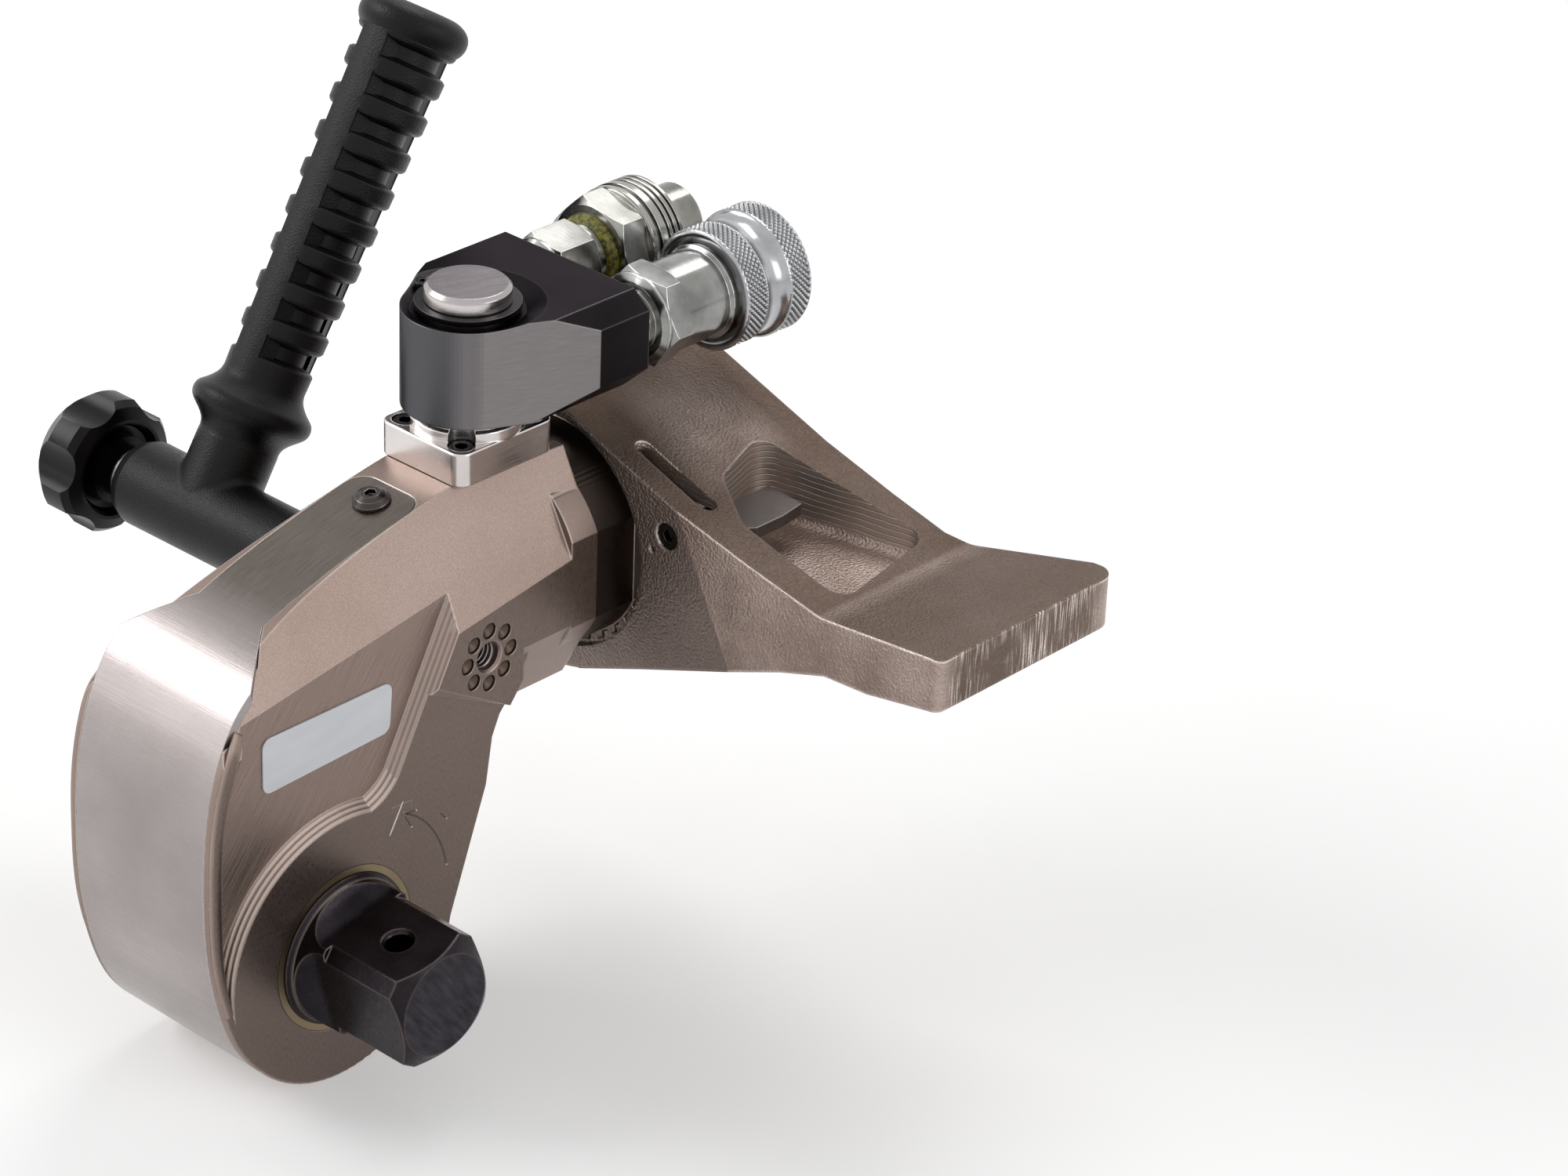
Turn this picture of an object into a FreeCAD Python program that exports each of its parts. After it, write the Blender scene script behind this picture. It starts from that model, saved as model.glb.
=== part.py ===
"""Hydraulic torque wrench with a square drive, a sliding reaction arm and a swivel hose block.

Millimetres, +Z up. The origin is where the drive axis meets the front nose face. The
square drive points towards -Y and the cylinder lies along +X. Each node is one solid or
one group of like pieces, written to parts/NODE.step in its rest pose.
"""
import FreeCAD, Part
import math
import os

V = FreeCAD.Vector
X_AXIS = V(1, 0, 0)
Y_AXIS = V(0, 1, 0)
Z_AXIS = V(0, 0, 1)

# Clearances
RUN = 0.05
SEAT = 0.01

# Housing
NOSE_R = 33.4
HEAD_W = 46.0
MID_Y = HEAD_W / 2
BOSS_PROUD = 1.5
FACET_Z0 = 65.7
FACET_RISE_X = 0.16
FACET_RISE_Y = 1.83
CAVITY_Y0 = 8.0
CAVITY_Y1 = HEAD_W - 8.0
CAVITY_R = 27.5
SHROUD_T = 2.4
SHROUD_Y0 = 2.0
SHROUD_Y1 = HEAD_W - 2.0
TAB_HALF = 10.2
TAB_END_X = 36.0
TAB_SCREW_X = 29.7
TAB_SCREW_Z = 93.4
TAB_SCREW_DEG = 11.0

# Sunk panel on each side of the head
POCKET_DEPTH = 3.0
POCKET_SLOPE = 0.8
POCKET_RING_R = 33.2
POCKET_BEND_R = 13.0
POCKET_BEND_X = 4.0
POCKET_BEND_Z = 47.0

# Cylinder barrel
BARREL_Z = 67.0
BLOCK_HALF_Z = 29.0
BLOCK_END_X = 76.4
NECK_R = 26.85
NECK_FLAT = MID_Y + BOSS_PROUD
SPLINE_X0 = 88.5
SPLINE_X1 = 134.0
SPLINE_R = 28.8
SPLINE_ROOT_R = 27.4
SPLINE_COUNT = 36
BORE_R = 20.5
BORE_X0 = 54.0
ROD_R = 9.0
EYE_R = 8.0
EYE_HALF = 8.3

# Anchor holes for the handle, one each side
ANCHOR_X = 42.6
ANCHOR_Z = 58.7
ANCHOR_R = 3.4
ANCHOR_DEPTH = 11.0
DIMPLE_PCR = 6.65
DIMPLE_R = 2.0

# Ratchet drive
CRANK_R = BARREL_Z
START_DEG = 12.0
CRANK_X = CRANK_R * math.sin(math.radians(START_DEG))
PIN_R = 5.0
RATCHET_TEETH = 36
RATCHET_TIP_R = 23.0
RATCHET_ROOT_R = 20.8
HUB_R = 17.0
PAWL_HALF = 7.0
JOURNAL_R = 18.35
BUSH_R = 20.17
SPLINE_SHAFT_R = 13.5
SQUARE = 25.4
SQUARE_FLAT = 19.46
SQUARE_DEG = 12.4
SQUARE_END_Y = -32.0
CAP_Y = HEAD_W + 1.2
WELL_DEPTH = 5.6
BUTTON_T = 3.0
BUTTON_SINK = 0.9

# Swivel
POST_X = 59.0
POST_R = 9.9
FLANGE_Z0 = BARREL_Z + BLOCK_HALF_Z
FLANGE_T = 8.0
BOSS_TOP_Z = FLANGE_Z0 + FLANGE_T + 4.2
SCREW_PLACES = [(POST_X + dx, MID_Y + dy) for dx in (-10.5, 10.5) for dy in (-9.0, 9.0)]
SCREW_SEAT_Z = FLANGE_Z0 + 4.4
POST_TOP_Z = 137.5
SWIVEL_Z0 = BOSS_TOP_Z + 0.2
SWIVEL_Z1 = 133.1
SWIVEL_R = 15.2
SWIVEL_FACE_X = 90.6
SWIVEL_HALF = 25.5
SWIVEL_SHOULDER_X = 75.2
SEAL_Z = [SWIVEL_Z1 - 20.6, SWIVEL_Z1 - 12.6, SWIVEL_Z1 - 4.6]
CLIP_Z = SWIVEL_Z1 - 0.9
CLIP_T = 1.2
CLIP_DEG = -100.0
PORT_DY = 16.0
PORT_Z = 122.2

# Reaction arm
ARM_X0 = 85.5
ARM_X1 = 136.0
ARM_R = 35.0
ARM_MOUTH_R = SPLINE_R + 0.8
ARM_SPLINE_R = SPLINE_ROOT_R + 0.2
ARM_TOP_Z = 100.2
ARM_KNEE_Y = -16.9
ARM_KNEE_Z = 86.3
FOOT_Y = -93.8
FOOT_X1 = 149.6
LATCH_Y = -14.5
LATCH_Z = 78.6
LATCH_X0 = 92.0
LATCH_T = 3.6
GROOVE_X0 = LATCH_X0 - 0.4
GROOVE_X1 = LATCH_X0 + LATCH_T + 11.0
NOSE_WAY_Z = 90.8

# Handle
HANDLE_Y0 = HEAD_W + BOSS_PROUD + 0.4
TUBE_END_Y = 118.0
TUBE_R = 10.6
SLEEVE_R = 6.0
GRIP_Y = 93.0
GRIP_DEG = 32.2
GRIP_LEN = 128.6
NECK_GRIP_R = 10.0
NECK_BLEND_R = 2.5
GUARD_R = 14.8
RIB_COUNT = 9
RIB_START = 37.0
RIB_PITCH = 9.4
RIB_R0 = 10.2
RIB_R1 = 12.0
SPINE_HALF = 4.0
KNOB_Y0 = 124.0
KNOB_R = 16.7
KNOB_LOBE_DEG = 76.0
STUD_R = 4.0


def cyl(radius, start, end):
    """Return a cylinder of the given radius between two points."""
    start, end = V(*start), V(*end)
    return Part.makeCylinder(radius, (end - start).Length, start, end - start)


def cone(r0, r1, start, end):
    """Return a cone frustum from radius r0 at start to r1 at end."""
    start, end = V(*start), V(*end)
    return Part.makeCone(r0, r1, (end - start).Length, start, end - start)


def box(x0, x1, y0, y1, z0, z1):
    """Return the box between the given limits."""
    return Part.makeBox(x1 - x0, y1 - y0, z1 - z0, V(x0, y0, z0))


def prism(points, axis, low, high):
    """Extrude a closed polygon; the points are the other two axes in X, Y, Z order."""
    place = {
        "x": lambda a, b: V(low, a, b),
        "y": lambda a, b: V(a, low, b),
        "z": lambda a, b: V(a, b, low),
    }[axis]
    run = {"x": X_AXIS, "y": Y_AXIS, "z": Z_AXIS}[axis] * (high - low)
    corners = [place(a, b) for a, b in points]
    return Part.Face(Part.makePolygon(corners + corners[:1])).extrude(run)


def turned(profile, start, axis):
    """Revolve an (along, radius) profile about an axis through start."""
    start, axis = V(*start), V(*axis)
    side = axis.cross(X_AXIS if abs(axis.x) < 0.9 else Y_AXIS)
    side.normalize()
    corners = [start + axis * along + side * radius for along, radius in profile]
    return Part.Face(Part.makePolygon(corners + corners[:1])).revolve(start, axis, 360)


def revolved(runs):
    """Revolve a closed (along, radius) profile about Z.

    A run of two points is drawn straight and a longer run as a smooth curve.
    """
    edges = []
    for run in runs:
        points = [V(radius, 0, along) for along, radius in run]
        if len(points) == 2:
            edges.append(Part.makeLine(*points))
        else:
            curve = Part.BSplineCurve()
            curve.interpolate(Points=points)
            edges.append(curve.toShape())
    return Part.Face(Part.Wire(edges)).revolve(V(0, 0, 0), Z_AXIS, 360)


def beyond(point, normal, depth=120.0, size=400.0):
    """Return a large block that fills the space on the normal side of a plane."""
    block = Part.makeBox(size, size, depth, V(-size / 2, -size / 2, 0))
    block.Placement = FreeCAD.Placement(V(*point), FreeCAD.Rotation(Z_AXIS, V(*normal)))
    return block


def hexagon_points(a0, b0, corner, turn=0.0):
    """Return a hexagon's six corners about (a0, b0), each at the given distance from it."""
    angles = [math.radians(turn + 60 * index) for index in range(6)]
    return [(a0 + corner * math.cos(angle), b0 + corner * math.sin(angle)) for angle in angles]


def hexagon(flats, start, length, turn=0.0):
    """Return a hexagonal bar along X, with its corners eased at both ends."""
    x0, y, z = start
    corner = flats / math.sqrt(3)
    bar = prism(hexagon_points(y, z, corner, turn), "x", x0, x0 + length)
    ease = 0.42 * (corner - flats / 2 + 1.2)
    face = flats / 2 - 0.2
    full = corner + 0.05
    round_bar = turned([(0, 0), (0, face), (ease, full), (length - ease, full), (length, face), (length, 0)],
                       start, (1, 0, 0))
    return bar.common(round_bar)


def pattern(shape, count, centre, axis, step=None):
    """Return copies of a shape turned about an axis in equal steps."""
    step = 360.0 / count if step is None else step
    copies = [shape.copy() for _ in range(count)]
    for index, copy in enumerate(copies):
        copy.rotate(V(*centre), V(*axis), index * step)
    return copies


def fuse(first, *others):
    """Join shapes into one and merge faces that lie in one surface."""
    return first.multiFuse(list(others)).removeSplitter() if others else first


def upright(edge):
    """Tell whether an edge starts out nearly vertical."""
    return abs(edge.tangentAt(edge.FirstParameter).z) > 0.9


def round_edges(shape, radius, wanted):
    """Fillet the edges whose middle point passes a test."""
    picked = []
    for edge in shape.Edges:
        middle = edge.valueAt((edge.FirstParameter + edge.LastParameter) / 2)
        if wanted(middle, edge):
            picked.append(edge)
    return shape.makeFillet(radius, picked)


def at_lever(shape):
    """Turn a shape built upright above the drive axis to the lever's start angle."""
    shape.rotate(V(0, 0, 0), Y_AXIS, START_DEG)
    return shape


def mirror_mid(shape):
    """Return the mirror image across the wrench's middle plane."""
    return shape.mirror(V(0, MID_Y, 0), Y_AXIS)


def shell_curve():
    """Return the outline points down the back of the head, from the top flat to the nose."""
    return [(46.0, 96.0), (33.0, 94.0), (20.0, 91.2), (8.0, 88.2), (-4.0, 84.6), (-18.0, 78.9), (-27.0, 73.0),
            (-34.6, 61.0), (-38.2, 48.0), (-39.6, 32.0), (-39.2, 15.0), (-36.6, 0.0), (-32.4, -12.0),
            (-23.6, -23.64)]


def offset_curve(points, depth):
    """Return a curve's points moved inwards, each along its own normal."""
    moved = []
    for index, (x, z) in enumerate(points):
        before = points[max(index - 1, 0)]
        after = points[min(index + 1, len(points) - 1)]
        dx, dz = after[0] - before[0], after[1] - before[1]
        size = math.hypot(dx, dz)
        moved.append((x - dz / size * depth, z + dx / size * depth))
    return moved


def spline_edge(points):
    """Return a smooth edge at y = 0 through the points, level at the top and tangent to the nose."""
    curve = Part.BSplineCurve()
    curve.interpolate(Points=[V(x, 0, z) for x, z in points], InitialTangent=V(-1, 0, -0.08),
                      FinalTangent=V(1, 0, -1))
    return curve.toShape()


def head_outline():
    """Return the head and leg outline as a face at y = 0."""
    back = spline_edge(shell_curve())
    nose_end = V(33.2, 0, -3.6)
    nose = Part.Arc(V(-23.6, 0, -23.64), V(6.0, 0, -NOSE_R + 0.55), nose_end).toShape()
    leg = [(33.2, -3.6), (43.4, 24.7), (45.2, 36.5), (47.5, 41.6), (49.4, 43.7), (54.4, 50.2), (60.0, 60.0),
           (60.0, 96.0), (46.0, 96.0)]
    sides = [Part.makeLine(V(a[0], 0, a[1]), V(b[0], 0, b[1])) for a, b in zip(leg, leg[1:])]
    return Part.Face(Part.Wire(Part.__sortEdges__([back, nose] + sides)))


def facet_planes(extra=0.0):
    """Return the two blocks that bevel the top of the head and barrel, front and rear."""
    front = beyond((0, 0, FACET_Z0 + extra), (-FACET_RISE_X, -FACET_RISE_Y, 1))
    return [front, mirror_mid(front)]


def barrel_block():
    """Return the faceted block round the barrel, proud of the head on both sides."""
    z0, z1 = BARREL_Z - BLOCK_HALF_Z, BARREL_Z + BLOCK_HALF_Z
    outline = [(24.5, 55.6), (49.4, 43.6), (54.4, 50.0), (60.5, z0), (BLOCK_END_X, z0), (BLOCK_END_X, z1),
               (46.0, z1), (33.0, 70.0)]
    block = prism(outline, "y", -BOSS_PROUD, HEAD_W + BOSS_PROUD)
    lower = beyond((0, -BOSS_PROUD, 56.8), (0, -FACET_RISE_Y, -1)).common(box(53.5, 90, -20, 70, 0, 60))
    foot = beyond((23.6, 0, 55.0), (-0.5, -2.05, -0.865)).common(box(20, 53, -BOSS_PROUD - 1, 0, 36, 70))
    for slope in (lower, foot):
        block = block.cut(slope).cut(mirror_mid(slope))
    return block


def spline_bar(low, high, half_root, half_tip, x0, x1):
    """Return one straight-sided spline on top of the barrel, its half widths given in degrees."""
    root = low * math.sin(math.radians(half_root))
    tip = high * math.sin(math.radians(half_tip))
    corners = [(MID_Y - root, BARREL_Z + low), (MID_Y + root, BARREL_Z + low), (MID_Y + tip, BARREL_Z + high),
               (MID_Y - tip, BARREL_Z + high)]
    return prism(corners, "x", x0, x1)


def barrel_neck():
    """Return the round neck with side flats, the splined end and the latch groove."""
    neck = cyl(NECK_R, (BLOCK_END_X - 8, MID_Y, BARREL_Z), (SPLINE_X0, MID_Y, BARREL_Z))
    neck = neck.common(box(0, 100, MID_Y - NECK_FLAT, MID_Y + NECK_FLAT, 0, 120))
    root = cyl(SPLINE_ROOT_R, (SPLINE_X0, MID_Y, BARREL_Z), (SPLINE_X1, MID_Y, BARREL_Z))
    tooth = spline_bar(SPLINE_ROOT_R - 0.3, SPLINE_R, 2.9, 1.7, SPLINE_X0, SPLINE_X1)
    end = fuse(root, *pattern(tooth, SPLINE_COUNT, (0, MID_Y, BARREL_Z), (1, 0, 0)))
    ring = cyl(ARM_R, (GROOVE_X0, MID_Y, BARREL_Z), (GROOVE_X1, MID_Y, BARREL_Z))
    groove = ring.cut(cyl(SPLINE_ROOT_R, (GROOVE_X0, MID_Y, BARREL_Z), (GROOVE_X1, MID_Y, BARREL_Z)))
    return neck.fuse(end.cut(groove))


def label_pocket():
    """Return the sunk panel on the side face, with sloping walls by the nose ring and the leg."""
    slope = POCKET_SLOPE
    panel = prism([(-24.0, 78.0), (-28.6, 63.0), (-31.3, 57.8), (-34.2, 49.0), (-35.5, 41.7), (-36.1, 26.2),
                   (-36.0, 11.8), (-34.6, 0.0), (-32.6, -6.0), (-12.0, 0.0), (20.0, 30.0), (45.0, 78.0)],
                  "y", -POCKET_DEPTH, POCKET_DEPTH)
    ring = cone(POCKET_RING_R, POCKET_RING_R + slope * POCKET_DEPTH, (0, 0, 0), (0, POCKET_DEPTH, 0))
    walls = []
    for y in (-POCKET_DEPTH, POCKET_DEPTH):
        shift = -slope * y
        corners = [V(x, y, z) for x, z in ((10.6 + shift, 30.0), (14.0 + shift, 33.6), (33.8 + shift, 71.8),
                                           (37.0 + shift, 78.0), (60.0, 78.0), (60.0, 30.0))]
        walls.append(Part.makePolygon(corners + corners[:1]))
    leg = Part.makeLoft(walls, True, True)
    bend = cone(POCKET_BEND_R + 2 * slope * POCKET_DEPTH, POCKET_BEND_R,
                (POCKET_BEND_X, -POCKET_DEPTH, POCKET_BEND_Z), (POCKET_BEND_X, POCKET_DEPTH, POCKET_BEND_Z))
    web = prism([(POCKET_BEND_X, POCKET_BEND_Z), (2.6, 30.0), (24.0, 30.0), (24.0, 38.0)],
                "y", -POCKET_DEPTH, POCKET_DEPTH)
    return panel.cut(ring).cut(leg).cut(web.cut(bend))


def cavity():
    """Return the space for the ratchet, lever and rod, open at the back under the shroud."""
    outline = [(27.0, 0.0), (27.0, 40.0), (30.0, 52.0), (30.0, 80.5), (4.0, 78.2), (-14.0, 76.0),
               (-20.0, 73.5), (-24.0, 71.4), (-29.0, 64.5), (-70.0, 64.5), (-70.0, -14.0), (-24.0, -14.0)]
    drum = cyl(CAVITY_R, (0, CAVITY_Y0, 0), (0, CAVITY_Y1, 0))
    return prism(outline, "y", CAVITY_Y0, CAVITY_Y1).fuse(drum)


def shroud_space(gap):
    """Return the sheet under the outer skin that the shroud fills, thicker by the gap inside."""
    outer = shell_curve()
    inner = offset_curve(outer, SHROUD_T + gap)
    edges = [spline_edge(outer), spline_edge(inner),
             Part.makeLine(V(outer[0][0], 0, outer[0][1]), V(inner[0][0], 0, inner[0][1])),
             Part.makeLine(V(outer[-1][0], 0, outer[-1][1]), V(inner[-1][0], 0, inner[-1][1]))]
    sheet = Part.Face(Part.Wire(Part.__sortEdges__(edges))).extrude(V(0, HEAD_W, 0))
    wide0, wide1 = SHROUD_Y0 - gap, SHROUD_Y1 + gap
    half = TAB_HALF + gap
    lower = box(-60, -25.0 + gap, wide0, wide1, -21.5 - gap, 90)
    shoulder = prism([(-25.5, wide0), (-25.0 + gap, wide0), (-12.0 + gap, MID_Y - half),
                      (-12.0 + gap, MID_Y + half), (-25.0 + gap, wide1), (-25.5, wide1)], "z", 60, 100)
    tab = box(-13, TAB_END_X - 5 + gap, MID_Y - half, MID_Y + half, 60, 110)
    tip = box(20, TAB_END_X + gap, MID_Y - half + 5, MID_Y + half - 5, 60, 110)
    corners = [cyl(5.0, (TAB_END_X - 5 + gap, y, 60), (TAB_END_X - 5 + gap, y, 110))
               for y in (MID_Y - half + 5, MID_Y + half - 5)]
    return sheet.common(fuse(lower, shoulder, tab, tip, *corners))


def anchor_cut():
    """Return one anchor hole with its ring of index dimples, on the front."""
    y0 = -BOSS_PROUD
    hole = cyl(ANCHOR_R, (ANCHOR_X, y0 - 1, ANCHOR_Z), (ANCHOR_X, y0 + ANCHOR_DEPTH, ANCHOR_Z))
    mouth = cone(ANCHOR_R + 0.6, ANCHOR_R, (ANCHOR_X, y0, ANCHOR_Z), (ANCHOR_X, y0 + 0.6, ANCHOR_Z))
    x = ANCHOR_X + DIMPLE_PCR
    dimple = cyl(DIMPLE_R, (x, y0 - 1, ANCHOR_Z), (x, y0 + 0.9, ANCHOR_Z))
    tip = cone(DIMPLE_R, 0.4, (x, y0 + 0.9, ANCHOR_Z), (x, y0 + 1.7, ANCHOR_Z))
    dimples = pattern(dimple.fuse(tip), 8, (ANCHOR_X, 0, ANCHOR_Z), (0, 1, 0))
    return hole.fuse(mouth).multiFuse(dimples)


def build_housing():
    """Head, leg, nose, faceted barrel and splined end, milled from one forging."""
    body = head_outline().extrude(V(0, HEAD_W, 0))
    for bevel in facet_planes():
        body = body.cut(bevel)
    body = round_edges(body, 0.7, lambda m, e: m.x < 12 and (m.y < 0.01 or m.y > HEAD_W - 0.01))
    block = barrel_block()
    for bevel in facet_planes():
        block = block.cut(bevel)
    body = body.fuse(block).fuse(barrel_neck())
    pocket = label_pocket()
    body = body.cut(pocket).cut(mirror_mid(pocket)).cut(shroud_space(0.12)).cut(cavity())
    for hole in (cyl(ROD_R + 0.5, (25, MID_Y, BARREL_Z), (36, MID_Y, BARREL_Z)),
                 cyl(14.0, (34, MID_Y, BARREL_Z), (BORE_X0 + 1, MID_Y, BARREL_Z)),
                 cyl(BORE_R, (BORE_X0, MID_Y, BARREL_Z), (SPLINE_X1 + 1, MID_Y, BARREL_Z)),
                 cyl(BUSH_R, (0, -3, 0), (0, HEAD_W + 3, 0)),
                 leaning_hole(1.7)):
        body = body.cut(hole)
    anchor = anchor_cut()
    body = body.cut(anchor).cut(mirror_mid(anchor))
    for x, y in SCREW_PLACES:
        body = body.cut(cyl(1.65, (x, y, FLANGE_Z0 - 7), (x, y, FLANGE_Z0 + 1)))
    return body


def build_shroud():
    """Curved cover that closes the open back of the head, with a tab along the top."""
    return shroud_space(0.0).cut(leaning_hole(1.9))


def leaning_hole(radius):
    """Return the shroud screw's hole, square to the tab."""
    hole = cyl(radius, (TAB_SCREW_X, MID_Y, TAB_SCREW_Z - 10), (TAB_SCREW_X, MID_Y, TAB_SCREW_Z + 6))
    hole.rotate(V(TAB_SCREW_X, MID_Y, TAB_SCREW_Z), Y_AXIS, -TAB_SCREW_DEG)
    return hole


def build_shroud_screw():
    """Button head socket screw standing square on the shroud's tab."""
    x, z = TAB_SCREW_X, TAB_SCREW_Z
    head = turned([(0, 0), (0, 4.4), (0.6, 4.4), (1.7, 3.5), (2.3, 2.2), (2.4, 0)], (x, MID_Y, z), (0, 0, 1))
    socket = prism(hexagon_points(x, MID_Y, 1.45), "z", z + 1.0, z + 4)
    shank = cyl(1.65, (x, MID_Y, z - 8), (x, MID_Y, z + 0.2))
    screw = fuse(head, shank).cut(socket)
    screw.rotate(V(x, MID_Y, z), Y_AXIS, -TAB_SCREW_DEG)
    return screw


def bush(y0, y1):
    """Return a plain bearing bush in a nose wall."""
    bore = cyl(JOURNAL_R + RUN, (0, y0 - 1, 0), (0, y1 + 1, 0))
    return cyl(BUSH_R - SEAT, (0, y0, 0), (0, y1, 0)).cut(bore)


def build_gland():
    """Guide bush that closes the cylinder round the rod, with its seal groove."""
    start = (34.2, MID_Y, BARREL_Z)
    inner, nose, outer = ROD_R + RUN, 14 - SEAT, BORE_R - SEAT
    body = turned([(0, inner), (0, nose), (19.9, nose), (19.9, outer), (25.0, outer), (25.0, inner)],
                  start, (1, 0, 0))
    groove = turned([(17.0, 0), (17.0, 11.4), (20.4, 11.4), (20.4, 0)], start, (1, 0, 0))
    return body.cut(groove)


def ring_solid(r0, r1, x0, x1):
    """Return a plain ring round the barrel axis."""
    return cyl(r1, (x0, MID_Y, BARREL_Z), (x1, MID_Y, BARREL_Z)).cut(
        cyl(r0, (x0 - 1, MID_Y, BARREL_Z), (x1 + 1, MID_Y, BARREL_Z)))


def build_plug():
    """Threaded end plug of the cylinder, with two spanner holes."""
    start = (120.0, MID_Y, BARREL_Z)
    outer, groove = BORE_R - SEAT, BORE_R - 2
    plug = turned([(0, 0), (0, outer), (4, outer), (4, groove), (7.4, groove), (7.4, outer), (15.0, outer),
                   (15.8, outer - 0.8), (15.8, 14), (14.2, 12), (14.2, 0)], start, (1, 0, 0))
    for y in (MID_Y - 9, MID_Y + 9):
        plug = plug.cut(cyl(1.8, (128, y, BARREL_Z), (140, y, BARREL_Z)))
    return plug


def build_swivel_post():
    """Square flange, raised boss and hollow post that the hose block turns on."""
    half_x, half_y = 14.9, 13.3
    flange = box(POST_X - half_x, POST_X + half_x, MID_Y - half_y, MID_Y + half_y,
                 FLANGE_Z0, FLANGE_Z0 + FLANGE_T)
    flange = round_edges(flange, 3.2, lambda m, e: upright(e))
    flange = round_edges(flange, 0.5, lambda m, e: m.z > FLANGE_Z0 + FLANGE_T - 0.1)
    top = POST_TOP_Z - FLANGE_Z0
    boss = BOSS_TOP_Z - FLANGE_Z0
    profile = [(0, 0), (0, 12.0), (FLANGE_T, 13.4), (boss - 2.0, 13.4), (boss - 1.2, 12.6), (boss, 12.6),
               (boss, POST_R)]
    for z in SEAL_Z:
        low = z - FLANGE_Z0
        profile += [(low, POST_R), (low, POST_R - 1.5), (low + 2.4, POST_R - 1.5), (low + 2.4, POST_R)]
    clip = CLIP_Z - 0.1 - FLANGE_Z0
    room = CLIP_T + 0.3
    profile += [(clip, POST_R), (clip, POST_R - 0.9), (clip + room, POST_R - 0.9), (clip + room, POST_R),
                (top - 0.9, POST_R), (top, POST_R - 0.9), (top, 0)]
    post = turned(profile, (POST_X, MID_Y, FLANGE_Z0), (0, 0, 1))
    body = flange.fuse(post)
    for x, y in SCREW_PLACES:
        body = body.cut(cyl(1.8, (x, y, FLANGE_Z0 - 1), (x, y, FLANGE_Z0 + 20)))
        body = body.cut(cyl(3.15, (x, y, SCREW_SEAT_Z), (x, y, BOSS_TOP_Z + 1)))
    for z, side in ((SEAL_Z[0] + 4.2, -1), (SEAL_Z[1] + 4.4, 1)):
        way = cyl(1.6, (POST_X + 3.5 * side, MID_Y, FLANGE_Z0 - 1), (POST_X + 3.5 * side, MID_Y, z + 1.6))
        window = cyl(1.6, (POST_X, MID_Y, z), (POST_X + 20 * side, MID_Y, z))
        body = body.cut(way).cut(window)
    return body


def build_flange_screws():
    """Four socket head cap screws that hold the swivel post."""
    screws = []
    for x, y in SCREW_PLACES:
        head = turned([(0, 0), (0, 3.0), (3.0, 3.0), (3.4, 2.6), (3.4, 0)], (x, y, SCREW_SEAT_Z), (0, 0, 1))
        shank = cyl(1.62, (x, y, FLANGE_Z0 - 6.5), (x, y, SCREW_SEAT_Z + 0.2))
        socket = prism(hexagon_points(x, y, 1.7), "z", SCREW_SEAT_Z + 1.4, SCREW_SEAT_Z + 6)
        screws.append(fuse(head, shank).cut(socket))
    return Part.makeCompound(screws)


def build_circlip():
    """External circlip on the post, with its two eared ends."""
    z0, z1 = CLIP_Z, CLIP_Z + CLIP_T
    body = cyl(12.1, (POST_X, MID_Y, z0), (POST_X, MID_Y, z1))
    ears = []
    for turn in (-13, 13):
        ear = cyl(2.0, (POST_X - 13.6, MID_Y, z0), (POST_X - 13.6, MID_Y, z1)).fuse(
            box(POST_X - 13.6, POST_X - 9, MID_Y - 1.6, MID_Y + 1.6, z0, z1))
        ear = ear.cut(cyl(0.85, (POST_X - 13.8, MID_Y, z0 - 1), (POST_X - 13.8, MID_Y, z1 + 1)))
        ear.rotate(V(POST_X, MID_Y, 0), Z_AXIS, turn)
        ears.append(ear)
    clip = fuse(body, *ears)
    clip = clip.cut(cyl(POST_R - 0.85, (POST_X, MID_Y, z0 - 1), (POST_X, MID_Y, z1 + 1)))
    slot = box(POST_X - 20, POST_X, MID_Y - 1.2, MID_Y + 1.2, z0 - 1, z1 + 1)
    clip = clip.cut(slot)
    clip.rotate(V(POST_X, MID_Y, 0), Z_AXIS, CLIP_DEG)
    return clip


def build_post_seals():
    """Three ring seals in the post's grooves, drawn as fitted, a little inside the bore."""
    rings = []
    for z in SEAL_Z:
        outer = cyl(POST_R, (POST_X, MID_Y, z + 0.2), (POST_X, MID_Y, z + 2.2))
        rings.append(outer.cut(cyl(POST_R - 1.45, (POST_X, MID_Y, z - 1), (POST_X, MID_Y, z + 4))))
    return Part.makeCompound(rings)


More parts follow.
